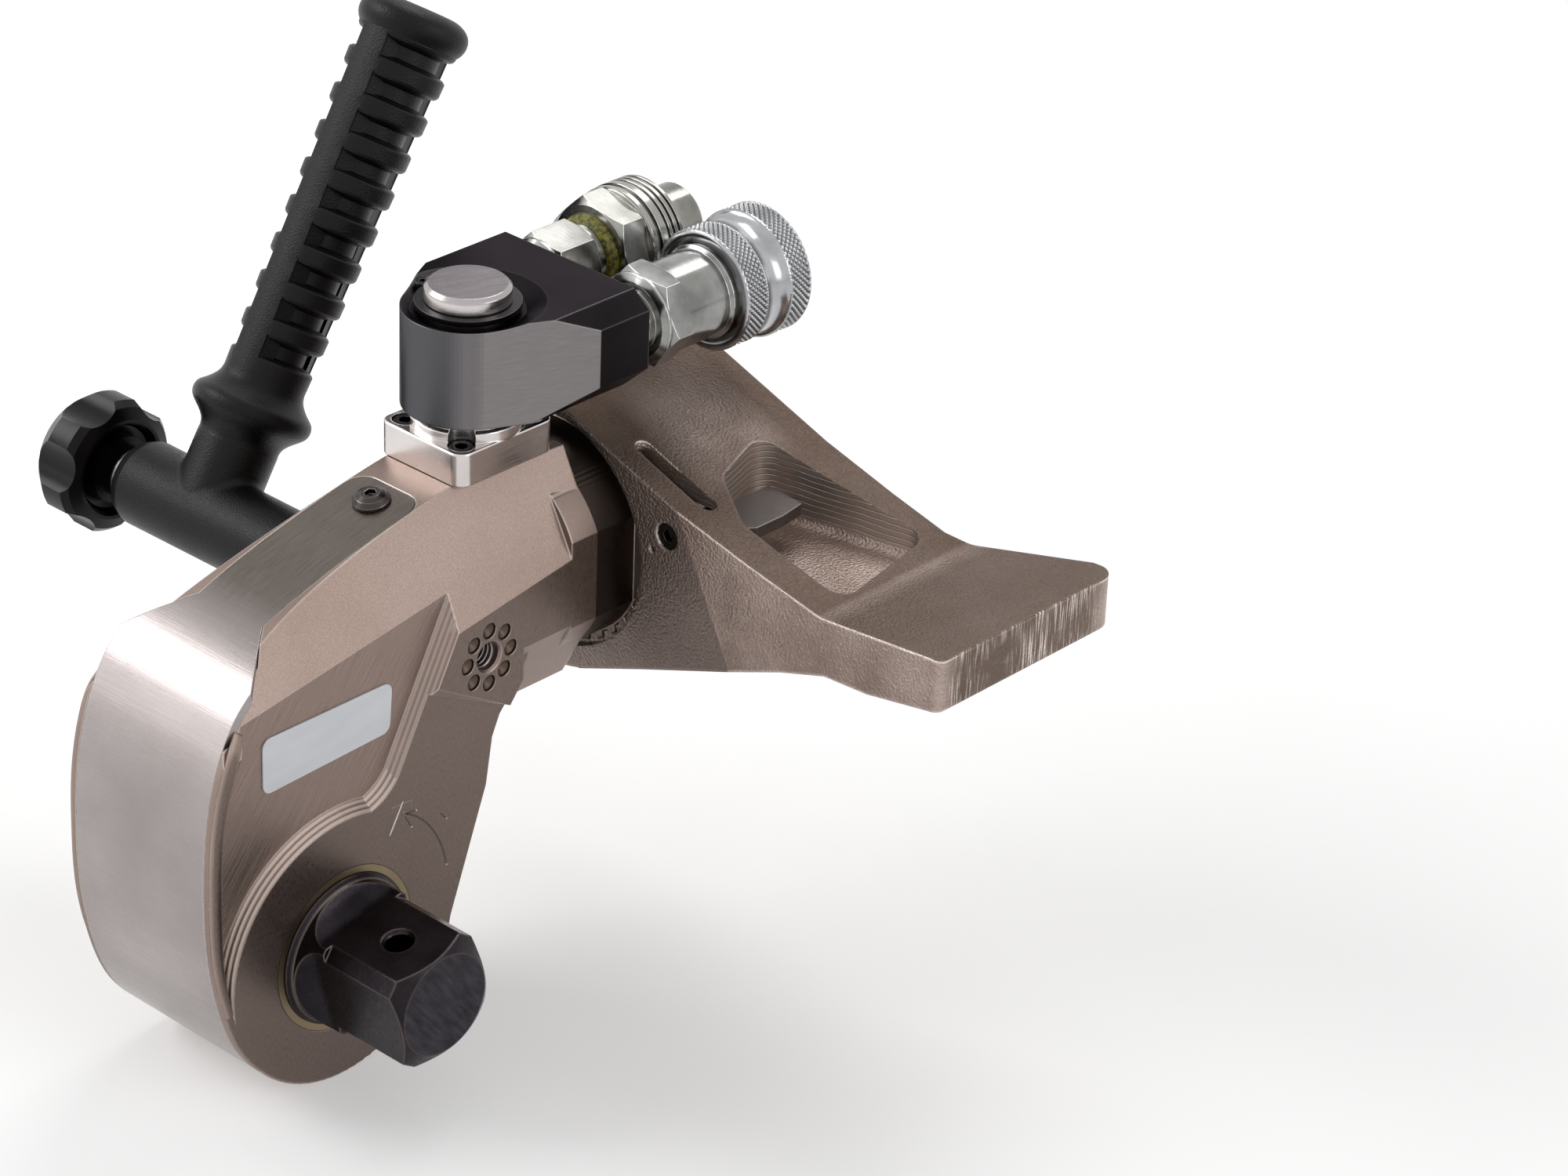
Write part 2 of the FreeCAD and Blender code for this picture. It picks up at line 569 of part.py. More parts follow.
def build_rod():
    """Piston rod with the slotted eye for the crank pin."""
    rod = cyl(ROD_R, (CRANK_X + 7, MID_Y, BARREL_Z), (92.0, MID_Y, BARREL_Z))
    stud = cyl(7.0, (92.0, MID_Y, BARREL_Z), (113.5, MID_Y, BARREL_Z))
    half = PIN_R + 0.09
    dip = CRANK_R * (1 - math.cos(math.radians(START_DEG)))
    y0, y1 = MID_Y - EYE_HALF, MID_Y + EYE_HALF
    eyes = [cyl(EYE_R, (CRANK_X, y0, z), (CRANK_X, y1, z)) for z in (BARREL_Z, BARREL_Z - dip)]
    cheek = box(CRANK_X, CRANK_X + 12, y0, y1, BARREL_Z - EYE_R - dip, BARREL_Z + EYE_R)
    cheek = cheek.common(cyl(10.5, (CRANK_X, MID_Y, BARREL_Z), (CRANK_X + 12, MID_Y, BARREL_Z)))
    body = fuse(rod, stud, cheek, *eyes)
    slot = fuse(cyl(half, (CRANK_X, 0, BARREL_Z), (CRANK_X, 50, BARREL_Z)),
                cyl(half, (CRANK_X, 0, BARREL_Z - dip), (CRANK_X, 50, BARREL_Z - dip)),
                box(CRANK_X - half, CRANK_X + half, 0, 50, BARREL_Z - dip, BARREL_Z))
    return body.cut(slot)


def build_piston():
    """Piston with its seal groove."""
    inner, outer, groove = 7.0 + SEAT, BORE_R - RUN, BORE_R - 3
    return turned([(0, inner), (0, outer), (5, outer), (5, groove), (9, groove), (9, outer), (14, outer),
                   (14, inner)], (92.0, MID_Y, BARREL_Z), (1, 0, 0))


def build_piston_nut():
    """Nut that holds the piston on its rod."""
    nut = hexagon(20.0, (106.1, MID_Y, BARREL_Z), 6.5)
    return nut.cut(cyl(7.02, (100, MID_Y, BARREL_Z), (120, MID_Y, BARREL_Z)))


def lever_plate(y0, y1):
    """Return one side plate of the lever, running on the ratchet's hub."""
    ring = cyl(25.6, (0, y0, 0), (0, y1, 0))
    head = cyl(8.0, (0, y0, CRANK_R), (0, y1, CRANK_R))
    arm = prism([(-24.0, 8.0), (24.0, 8.0), (11.5, 44.0), (7.9, CRANK_R), (-7.9, CRANK_R), (-11.5, 44.0)],
                "y", y0, y1)
    plate = fuse(ring, head, arm)
    for hole in (cyl(HUB_R + RUN, (0, y0 - 1, 0), (0, y1 + 1, 0)),
                 cyl(PIN_R + SEAT, (0, y0 - 1, CRANK_R), (0, y1 + 1, CRANK_R)),
                 *(cyl(1.6, (x, y0 - 1, 46.0), (x, y1 + 1, 46.0)) for x in (-9, 9))):
        plate = plate.cut(hole)
    return at_lever(plate)


def build_pawl_guide():
    """Bridge between the lever plates that guides the pawl and backs its springs."""
    y0, y1 = 14.05, HEAD_W - 14.05
    bridge = box(-13.5, 13.5, y0, y1, 42.0, 52.0)
    inner = PAWL_HALF + 0.1
    cheeks = [box(-13.5, -inner, y0, y1, 28.5, 43.0), box(inner, 13.5, y0, y1, 28.5, 43.0)]
    body = fuse(bridge, *cheeks)
    for x in (-9, 9):
        body = body.cut(cyl(1.62, (x, y0 - 1, 46.0), (x, y1 + 1, 46.0)))
    for y in (MID_Y - 4.2, MID_Y + 4.2):
        body = body.cut(cyl(2.3, (0, y, 41), (0, y, 47.5)))
    return at_lever(body)


def build_guide_pins():
    """Two cross pins that tie the lever plates and the pawl guide together."""
    pins = [cyl(1.58, (x, 9.0, 46.0), (x, HEAD_W - 9.0, 46.0)) for x in (-9, 9)]
    return at_lever(Part.makeCompound(pins))


def ratchet_profile(grow=0.0, turn=0.0):
    """Return the toothed outline as a solid disc, steep on the side the pawl pushes."""
    pitch = 2 * math.pi / RATCHET_TEETH
    points = []
    for index in range(RATCHET_TEETH):
        base = index * pitch + math.radians(turn)
        steps = ((0.00, RATCHET_ROOT_R), (0.06, RATCHET_ROOT_R), (0.29, RATCHET_TIP_R), (0.40, RATCHET_TIP_R))
        for share, radius in steps:
            angle = base + share * pitch
            points.append(((radius + grow) * math.cos(angle), (radius + grow) * math.sin(angle)))
    return prism(points, "y", 14.5, HEAD_W - 14.5)


def build_ratchet():
    """Ratchet wheel with a hub each side and a splined bore for the square drive."""
    wheel = ratchet_profile()
    hub = cyl(HUB_R, (0, 8.6, 0), (0, HEAD_W - 8.6, 0))
    body = wheel.fuse(hub)
    bore = shaft_spline(SPLINE_SHAFT_R + 0.08, 12.18, 8.0, HEAD_W - 8.0, 0.35)
    bore.rotate(V(0, 0, 0), Y_AXIS, -SQUARE_DEG)
    return body.cut(bore)


def shaft_spline(tip_r, root_r, y0, y1, widen=0.0):
    """Return the straight-sided spline bar that carries the square drive."""
    root = cyl(root_r, (0, y0, 0), (0, y1, 0))
    half = 1.6 + widen / 2
    tooth = box(-half, half, y0, y1, 0, tip_r)
    bar = fuse(root, *pattern(tooth, 12, (0, 0, 0), (0, 1, 0)))
    return bar.common(cyl(tip_r, (0, y0, 0), (0, y1, 0)))


def build_square_drive():
    """One inch square drive with chamfered corners, filleted neck, journal and spline."""
    half, flat = SQUARE / 2, SQUARE_FLAT / 2
    corners = [(half, flat), (flat, half), (-flat, half), (-half, flat), (-half, -flat), (-flat, -half),
               (flat, -half), (half, -flat)]
    square = prism(corners, "y", SQUARE_END_Y, 0)
    tip = turned([(0, 0), (0, 12.2), (2.6, 16.1), (40, 16.1), (40, 0)], (0, SQUARE_END_Y, 0), (0, 1, 0))
    square = square.common(tip)
    collar = cyl(JOURNAL_R - 1.2, (0, -9.0, 0), (0, -0.6, 0))
    for index in range(4):
        tool = box(-30, 30, -20, -8.2, half, half + 20)
        tool = tool.fuse(cyl(7.0, (-30, -8.2, half + 7.0), (30, -8.2, half + 7.0)))
        tool.rotate(V(0, 0, 0), Y_AXIS, 90 * index)
        collar = collar.cut(tool)
    disc = turned([(0, 0), (0, JOURNAL_R - 0.9), (0.9, JOURNAL_R), (9.8, JOURNAL_R), (9.8, 0)],
                  (0, -1.3, 0), (0, 1, 0))
    spline = shaft_spline(SPLINE_SHAFT_R, 12.1, 8.4, HEAD_W - 9.0)
    body = fuse(square, collar, disc, spline)
    pin_hole = cyl(3.1, (0, -20.0, -20), (0, -20.0, 20))
    mouth = [cone(3.9, 3.1, (0, -20.0, s * half), (0, -20.0, s * (half - 0.8))) for s in (-1, 1)]
    body = body.cut(fuse(pin_hole, *mouth)).cut(cyl(4.0, (0, 26.0, 0), (0, HEAD_W, 0)))
    body.rotate(V(0, 0, 0), Y_AXIS, -SQUARE_DEG)
    return body


def build_retainer():
    """Rear cap that keeps the square drive in the ratchet, with a well for the button."""
    y0, y1 = HEAD_W - 8.5, CAP_Y
    depth = y1 - y0
    cap = turned([(0, 0), (0, JOURNAL_R), (depth - 0.8, JOURNAL_R), (depth, JOURNAL_R - 0.8), (depth, 0)],
                 (0, y0, 0), (0, 1, 0))
    stem = cyl(3.95, (0, 27.5, 0), (0, y0 + 0.5, 0))
    well = cyl(6.05, (0, y1 - WELL_DEPTH, 0), (0, y1 + 1, 0))
    guide = cyl(2.05, (0, y1 - 17.2, 0), (0, y1, 0))
    lip = turned([(0, 9.5), (0, 10.3), (3, 10.3), (3, 9.5)], (0, y1 - 0.6, 0), (0, 1, 0))
    return cap.fuse(stem).cut(well).cut(guide).cut(lip)


def build_button():
    """Release button of the square drive, with its plunger."""
    pad = CAP_Y + BUTTON_SINK - BUTTON_T
    return turned([(0, 0), (0, 2.0), (9.0, 2.0), (9.0, 6.0), (8.4 + BUTTON_T, 6.0), (9.0 + BUTTON_T, 5.2),
                   (9.0 + BUTTON_T, 0)], (0, pad - 9.0, 0), (0, 1, 0))


def build_button_spring():
    """Coil spring under the release button, between the well's floor and the button."""
    wire, floor = 0.4, CAP_Y - WELL_DEPTH
    room = CAP_Y + BUTTON_SINK - BUTTON_T - floor
    return coil(3.2, wire, 0.95, room - 2 * wire - 0.6, (0, floor + wire + 0.1, 0), (0, 1, 0))


def coil(radius, wire, pitch, height, start, axis):
    """Return a coil spring as a swept round wire."""
    helix = Part.makeHelix(pitch, height, radius)
    section = Part.Wire(Part.makeCircle(wire, V(radius, 0, 0), V(0, 1, 0)))
    spring = Part.Wire(helix).makePipeShell([section], True, True)
    spring.Placement = FreeCAD.Placement(V(*start), FreeCAD.Rotation(Z_AXIS, V(*axis)))
    return spring


def build_pawl():
    """Drive pawl whose teeth are cut to mesh with the ratchet wheel."""
    y0, y1 = 15.0, HEAD_W - 15.0
    block = box(-PAWL_HALF, PAWL_HALF, y0, y1, 19.0, 38.6)
    block = block.cut(cyl(RATCHET_ROOT_R + 0.25, (0, 0, 0), (0, HEAD_W, 0)))
    for turn in (-0.3, 0.0, 0.3):
        block = block.cut(ratchet_profile(0.12, START_DEG + turn))
    for y in (MID_Y - 4.2, MID_Y + 4.2):
        block = block.cut(cyl(2.3, (0, y, 35.0), (0, y, 40)))
    return at_lever(block)


def build_pawl_springs():
    """Two coil springs behind the drive pawl."""
    seat = 35.3
    lean = math.radians(START_DEG)
    axis = (math.sin(lean), 0, math.cos(lean))
    springs = []
    for y in (MID_Y - 4.2, MID_Y + 4.2):
        springs.append(coil(1.65, 0.35, 1.75, 11.4, (seat * axis[0], y, seat * axis[2]), axis))
    return Part.makeCompound(springs)


def block_plan():
    """Return the plan outline of the swivel block as a solid between its two heights."""
    reach = V(SWIVEL_SHOULDER_X - POST_X, -SWIVEL_HALF, 0)
    lean = math.atan2(reach.y, reach.x) - math.acos(SWIVEL_R / reach.Length)
    tx, ty = SWIVEL_R * math.cos(lean), SWIVEL_R * math.sin(lean)
    y0, y1 = MID_Y - SWIVEL_HALF, MID_Y + SWIVEL_HALF
    corners = [(POST_X + tx, MID_Y + ty), (SWIVEL_SHOULDER_X, y0), (SWIVEL_FACE_X, y0), (SWIVEL_FACE_X, y1),
               (SWIVEL_SHOULDER_X, y1), (POST_X + tx, MID_Y - ty)]
    wedge = prism(corners, "z", SWIVEL_Z0, SWIVEL_Z1)
    return fuse(cyl(SWIVEL_R, (POST_X, MID_Y, SWIVEL_Z0), (POST_X, MID_Y, SWIVEL_Z1)), wedge)


def build_swivel_block():
    """Hose block with a round end on the post, bevelled shoulders and two ports."""
    body = block_plan()
    half = SWIVEL_HALF
    for side in (1, -1):
        top = beyond((0, MID_Y - half, SWIVEL_Z1 - 3.9), (0, -3.9, 5.0))
        bottom = beyond((0, MID_Y - half, SWIVEL_Z0 + 6.6), (0, -6.6, -7.2))
        for bevel in (top, bottom):
            body = body.cut(bevel if side == 1 else mirror_mid(bevel))
    dish = cone(12.9, 17.6, (POST_X, MID_Y, 131.0), (POST_X, MID_Y, SWIVEL_Z1))
    dish = dish.fuse(cyl(17.6, (POST_X, MID_Y, SWIVEL_Z1), (POST_X, MID_Y, SWIVEL_Z1 + 2)))
    body = body.cut(dish).cut(cyl(POST_R + RUN, (POST_X, MID_Y, 100), (POST_X, MID_Y, 140)))
    for side in (-1, 1):
        y = MID_Y + side * PORT_DY
        body = body.cut(cyl(5.6, (SWIVEL_FACE_X - 14, y, PORT_Z), (SWIVEL_FACE_X + 1, y, PORT_Z)))
        body = body.cut(cyl(1.8, (SWIVEL_FACE_X - 24, y, PORT_Z), (SWIVEL_FACE_X, y, PORT_Z)))
    return body


def build_front_adapter():
    """Nipple and hexagon of the female coupler's side."""
    y = MID_Y - PORT_DY
    shank = cyl(5.55, (SWIVEL_FACE_X - 13, y, PORT_Z), (SWIVEL_FACE_X + 0.5, y, PORT_Z))
    neck = turned([(0, 0), (0, 8.4), (1.4, 8.4), (2.2, 7.2), (4.6, 7.2), (4.6, 9.0), (5.6, 10.8), (6.2, 10.8),
                   (6.2, 0)], (SWIVEL_FACE_X + 0.02, y, PORT_Z), (1, 0, 0))
    return fuse(shank, neck).cut(cyl(2.6, (SWIVEL_FACE_X - 20, y, PORT_Z), (SWIVEL_FACE_X + 20, y, PORT_Z)))


def build_female_coupler():
    """Body of the female quick coupler, from its hexagon to the guide tube in the collar."""
    y, x0 = MID_Y - PORT_DY, SWIVEL_FACE_X + 6.25
    hexa = hexagon(21.0, (x0, y, PORT_Z), 6.6, turn=8)
    body = turned([(0, 0), (0, 10.5), (19.2, 10.5), (19.9, 11.3), (22.4, 11.3), (22.4, 10.3), (40.2, 10.3),
                   (41.0, 9.7), (41.0, 0)], (x0, y, PORT_Z), (1, 0, 0))
    socket = turned([(16.0, 0), (16.0, 6.4), (27.0, 6.4), (29.0, 8.9), (42.0, 8.9), (42.0, 0)],
                    (x0, y, PORT_Z), (1, 0, 0))
    return fuse(hexa, body).cut(socket).cut(cyl(2.6, (x0 - 2, y, PORT_Z), (x0 + 20, y, PORT_Z)))


def build_collar():
    """Turning collar of the female coupler, with two knurled bands."""
    y, x0 = MID_Y - PORT_DY, SWIVEL_FACE_X + 27.4
    return turned([(0, 11.4), (0, 14.1), (0.5, 14.6), (6.6, 14.6), (7.1, 13.9), (12.6, 13.9), (13.2, 14.9),
                   (13.8, 15.5), (19.9, 15.5), (20.6, 14.8), (20.6, 12.4), (18.6, 10.35), (2.2, 10.35),
                   (2.2, 11.4)], (x0, y, PORT_Z), (1, 0, 0))


def poppet(x0, y, radius, length):
    """Return a valve poppet with a domed end and a stem."""
    return turned([(0, 0), (0, 2.2), (length - 5, 2.2), (length - 4.2, radius), (length - 1.2, radius),
                   (length - 0.3, radius * 0.6), (length, 0)], (x0, y, PORT_Z), (1, 0, 0))


def build_rear_adapter():
    """Straight hexagon adapter of the male coupler's side."""
    y, x0 = MID_Y + PORT_DY, SWIVEL_FACE_X
    shank = cyl(5.55, (x0 - 13, y, PORT_Z), (x0 + 0.5, y, PORT_Z))
    neck = turned([(0.02, 0), (0.02, 6.6), (4.4, 6.6), (4.4, 7.6), (5.6, 8.6), (6.4, 8.6), (6.4, 0)],
                  (x0, y, PORT_Z), (1, 0, 0))
    hexa = hexagon(17.0, (x0 + 6.0, y, PORT_Z), 12.5, turn=12)
    end = cyl(7.9, (x0 + 18.0, y, PORT_Z), (x0 + 20.6, y, PORT_Z)).fuse(
        cyl(5.5, (x0 + 20.0, y, PORT_Z), (x0 + 30.0, y, PORT_Z)))
    return fuse(shank, neck, hexa, end).cut(cyl(2.6, (x0 - 20, y, PORT_Z), (x0 + 40, y, PORT_Z)))


def build_sealant():
    """Bead of thread sealant squeezed out between adapter and coupler."""
    y, x0 = MID_Y + PORT_DY, SWIVEL_FACE_X + 20.65
    return turned([(0, 5.55), (0, 7.4), (0.6, 8.6), (1.6, 9.3), (2.4, 9.5), (2.4, 5.55)],
                  (x0, y, PORT_Z), (1, 0, 0))


def build_male_coupler():
    """Body of the male quick coupler, with hexagon, shoulder, thread rings and nose."""
    y, x0 = MID_Y + PORT_DY, SWIVEL_FACE_X + 23.1
    hexa = hexagon(23.6, (x0, y, PORT_Z), 8.6, turn=14)
    profile = [(0, 0), (0, 9.8), (8.0, 9.8), (8.0, 13.1), (8.5, 13.5), (9.6, 13.5), (9.9, 12.5), (10.5, 12.5),
               (10.7, 13.7), (12.6, 13.7)]
    for index in range(3):
        x = 12.6 + 1.75 * index
        profile += [(x + 0.2, 12.7), (x + 0.75, 12.7), (x + 0.95, 13.7), (x + 1.75, 13.7)]
    profile += [(18.2, 13.3), (18.2, 8.8), (28.8, 8.8), (29.7, 8.0), (29.7, 0)]
    body = turned(profile, (x0, y, PORT_Z), (1, 0, 0))
    inlet = cyl(5.55, (x0 - 1, y, PORT_Z), (x0 + 8, y, PORT_Z))
    mouth = turned([(10.0, 0), (10.0, 5.6), (26.0, 5.6), (27.4, 4.6), (31.0, 4.6), (31.0, 0)],
                   (x0, y, PORT_Z), (1, 0, 0))
    return fuse(hexa, body).cut(inlet).cut(mouth).cut(cyl(2.6, (x0, y, PORT_Z), (x0 + 12, y, PORT_Z)))


def arm_bore():
    """Return the ring's bore with its internal splines."""
    centre0, centre1 = (ARM_X0 - 1, MID_Y, BARREL_Z), (ARM_X1 + 20, MID_Y, BARREL_Z)
    core = cyl(ARM_SPLINE_R, centre0, centre1)
    mouth = cyl(ARM_MOUTH_R, centre0, (SPLINE_X0 + 0.3, MID_Y, BARREL_Z))
    gap = spline_bar(ARM_SPLINE_R - 0.4, SPLINE_R + 0.2, 3.35, 2.15, SPLINE_X0 - 1, ARM_X1 + 1)
    return fuse(core, mouth, *pattern(gap, SPLINE_COUNT, (0, MID_Y, BARREL_Z), (1, 0, 0)))


def build_arm():
    """Reaction arm: splined ring, sloping beam with a milled pocket, and a wide flat foot."""
    end = FOOT_Y - 1
    top = [(MID_Y, ARM_TOP_Z), (ARM_KNEE_Y, ARM_KNEE_Z), (-37.7, 80.6), (-60.0, 75.2), (-90.0, 76.8),
           (end, 76.8)]
    belly = [(end, 64.4), (-74.0, 61.4), (-62.0, 61.2), (-49.5, 57.4), (-7.4, 41.3), (12.0, 33.6),
             (MID_Y, 32.2)]
    beam = prism(top + belly, "x", ARM_X0, FOOT_X1 + 2.0)
    beam = round_edges(beam, 9.0, lambda m, e: abs(m.y + 60) < 0.1 and m.z > 70)
    plan = prism([(ARM_X0, MID_Y), (ARM_X1, MID_Y), (ARM_X1, -54.0), (ARM_X1 + 2.6, -62.0),
                  (FOOT_X1, FOOT_Y + 7), (FOOT_X1, FOOT_Y), (ARM_X0, FOOT_Y)], "z", 20, 110)
    plan = round_edges(plan, 5.0, lambda m, e: m.x > FOOT_X1 - 0.1 and m.y < FOOT_Y + 0.1 and e.Length > 50)
    ring = cyl(ARM_R, (ARM_X0, MID_Y, BARREL_Z), (ARM_X1, MID_Y, BARREL_Z))
    body = ring.fuse(beam.common(plan))
    saddle = beyond((0, MID_Y, ARM_TOP_Z), (0, ARM_KNEE_Z - ARM_TOP_Z, MID_Y - ARM_KNEE_Y))
    saddle = saddle.common(box(ARM_X0 - 5, FOOT_X1, ARM_KNEE_Y, 60, 80, 120))
    side = beyond((ARM_X0, ARM_KNEE_Y, 86.0), (-1, -0.052, 0.026))
    side = side.common(box(ARM_X0 - 20, ARM_X0 + 15, -120, ARM_KNEE_Y + 3, 0, 110))
    body = body.cut(saddle).cut(side)
    floor = 70.0
    outline = [(122.7, -8.0), (131.0, -53.0), (96.2, -58.6), (96.0, -28.0), (104.0, -14.0)]
    pocket = prism(outline, "z", floor, 110)
    pocket = round_edges(pocket, 5.0, lambda m, e: upright(e))
    pocket = round_edges(pocket, 2.5, lambda m, e: m.z < floor + 0.01)
    body = body.cut(pocket)
    slot_x = LATCH_X0 + LATCH_T / 2
    slot = fuse(box(slot_x - 2.2, slot_x + 2.2, -19.0, 1.0, LATCH_Z - 7, 110),
                cyl(2.2, (slot_x, -19.0, LATCH_Z - 7), (slot_x, -19.0, 110)),
                cyl(2.2, (slot_x, 1.0, LATCH_Z - 7), (slot_x, 1.0, 110)))
    nose_way = box(slot_x - 2.2, slot_x + 2.2, -2.0, 9.0, 80.0, NOSE_WAY_Z)
    tab_way = prism([(-28.0, 72.5), (-12.0, 75.0), (-8.0, 83.0), (-24.0, 83.4)], "x", slot_x, 106)
    spring_well = cyl(2.1, (slot_x, -20.0, 70.0), (slot_x, -20.0, 78.0))
    body = body.cut(arm_bore())
    for tool in (slot, nose_way, tab_way, spring_well):
        body = body.cut(tool)
    body = body.cut(cyl(2.55, (ARM_X0 - 1, LATCH_Y, LATCH_Z), (100, LATCH_Y, LATCH_Z)))
    body = body.cut(cyl(3.3, (ARM_X0 - 2, LATCH_Y, LATCH_Z), (ARM_X0 + 3.4, LATCH_Y, LATCH_Z)))
    body = body.cut(cyl(0.8, (ARM_X0 - 1, -10.0, 73.6), (ARM_X0 + 4, -10.0, 73.6)))
    return round_edges(body, 2.0, lambda m, e: m.y < FOOT_Y + 20 and m.x < 100 and upright(e))


def build_latch_screw():
    """Socket screw that the latch lever pivots on."""
    head = cyl(3.1, (ARM_X0 + 0.5, LATCH_Y, LATCH_Z), (ARM_X0 + 3.3, LATCH_Y, LATCH_Z))
    shank = cyl(2.5, (ARM_X0 + 3.0, LATCH_Y, LATCH_Z), (99.5, LATCH_Y, LATCH_Z))
    socket = prism(hexagon_points(LATCH_Y, LATCH_Z, 1.6), "x", ARM_X0, ARM_X0 + 2.4)
    return fuse(head, shank).cut(socket)


def build_latch():
    """Latch lever: nose in the barrel groove, pivot eye and thumb tab in the pocket."""
    x0, x1 = LATCH_X0, LATCH_X0 + LATCH_T
    eye = cyl(4.4, (x0, LATCH_Y, LATCH_Z), (x1, LATCH_Y, LATCH_Z))
    arm = prism([(-16.0, 82.8), (-13.0, 74.6), (-4.0, 79.0), (4.4, 86.0), (4.4, 88.0), (1.2, 88.9),
                 (-2.5, 86.8)], "x", x0, x1)
    heel = cyl(SPLINE_R + 0.15, (x0 - 1, MID_Y, BARREL_Z), (x1 + 1, MID_Y, BARREL_Z)).common(
        box(x0 - 1, x1 + 1, -20.0, 0.4, 60, 100))
    arm = arm.cut(cyl(28.15, (x0 - 1, MID_Y, BARREL_Z), (x1 + 1, MID_Y, BARREL_Z))).cut(heel)
    tab_low = prism([(-26.5, 76.4), (-15.0, 77.4), (-15.0, 80.2), (-26.5, 79.4)], "x", x0, 118.6)
    trim = prism([(x0, -14.0), (101.0, -14.0), (108.0, -9.0), (120.0, -12.6), (118.6, -25.5), (104.0, -27.5),
                  (98.0, -23.5), (x0 + 2.4, -18.6), (x0, -18.6)], "z", 60, 100)
    body = fuse(eye, arm, tab_low.common(trim))
    return body.cut(cyl(2.55, (x0 - 1, LATCH_Y, LATCH_Z), (x1 + 8, LATCH_Y, LATCH_Z)))


def rib_radius(along):
    """Return the grip's outer radius at a distance along it; it swells a little towards the end."""
    span = RIB_PITCH * (RIB_COUNT - 1)
    return RIB_R0 + (RIB_R1 - RIB_R0) * (along - RIB_START) / span


def grip_body():
    """Return the plain grip: neck, flared guard, tapering handle and rolled end."""
    end = GRIP_LEN
    taper0, taper1 = RIB_START - 2.6, end - 8.0
    guard = [(18.0, NECK_GRIP_R), (21.4, 10.9), (23.8, 13.4), (25.2, 14.5), (26.6, GUARD_R), (28.2, 14.4),
             (29.6, 13.0), (31.2, 11.4), (taper0, rib_radius(taper0))]
    rolled = [(taper1, rib_radius(taper1)), (end - 7.0, 12.9), (end - 5.0, 13.5), (end - 2.6, 13.0),
              (end - 0.9, 11.2), (end, 7.6)]
    base = [(0, 0), (0, NECK_GRIP_R)]
    return revolved([base, [base[1], guard[0]], guard, [guard[-1], rolled[0]], rolled, [rolled[-1], (end, 0)],
                     [(end, 0), base[0]]])


def finger_recess(middle):
    """Return one ring of the grip's finger recesses, cut in two by the smooth spines."""
    crest = rib_radius(middle)
    wall = [(1.5, -3.1), (1.9, -2.2), (2.2, -0.9), (2.6, -0.3), (3.3, 0.12), (3.3, 4.0)]
    profile = [(middle + w, crest + r) for w, r in wall]
    profile += [(middle - w, crest + r) for w, r in reversed(wall)]
    ring = turned(profile, (0, 0, 0), (0, 0, 1))
    half = SPINE_HALF
    spine = [(6.0, -half - 1.6), (crest - 1.3, -half), (20.0, -half), (20.0, half), (crest - 1.3, half),
             (6.0, half + 1.6)]
    for side in (1, -1):
        ring = ring.cut(prism([(side * x, y) for x, y in spine], "z", middle - 4, middle + 4))
    return ring


def grip_place():
    """Return the placement that stands a piece built along Z on the grip's axis."""
    return FreeCAD.Placement(V(ANCHOR_X, GRIP_Y, ANCHOR_Z), FreeCAD.Rotation(Y_AXIS, GRIP_DEG))


def build_handle():
    """Moulded T handle: tube over the clamp stud and a ribbed grip with finger recesses."""
    length = TUBE_END_Y - HANDLE_Y0
    tube = turned([(0, 0), (0, 9.4), (1.0, 10.3), (length - 4, TUBE_R), (length - 1.3, 9.6), (length, 7.6),
                   (length, 0)], (ANCHOR_X, HANDLE_Y0, ANCHOR_Z), (0, 1, 0))
    recesses = [finger_recess(RIB_START + RIB_PITCH * (index + 0.5)) for index in range(RIB_COUNT)]
    grip = grip_body().cut(Part.makeCompound(recesses))
    grip.Placement = grip_place()
    centre = V(ANCHOR_X, GRIP_Y, ANCHOR_Z)
    body = round_edges(fuse(tube, grip), NECK_BLEND_R,
                       lambda m, e: (m - centre).Length < 16 and isinstance(e.Curve, Part.BSplineCurve))
    bore = cyl(SLEEVE_R + SEAT, (ANCHOR_X, HANDLE_Y0 - 1, ANCHOR_Z), (ANCHOR_X, TUBE_END_Y + 1, ANCHOR_Z))
    return body.cut(bore)


def build_sleeve():
    """Steel sleeve moulded into the handle, with the foot that bears on the wrench."""
    y0, y1 = HANDLE_Y0 - 0.3, TUBE_END_Y + 0.6
    sleeve = cyl(SLEEVE_R, (ANCHOR_X, y0, ANCHOR_Z), (ANCHOR_X, y1, ANCHOR_Z))
    foot = cyl(9.2, (ANCHOR_X, y0, ANCHOR_Z), (ANCHOR_X, HANDLE_Y0 - 0.02, ANCHOR_Z))
    return sleeve.fuse(foot).cut(cyl(STUD_R + RUN, (ANCHOR_X, 30, ANCHOR_Z), (ANCHOR_X, 130, ANCHOR_Z)))


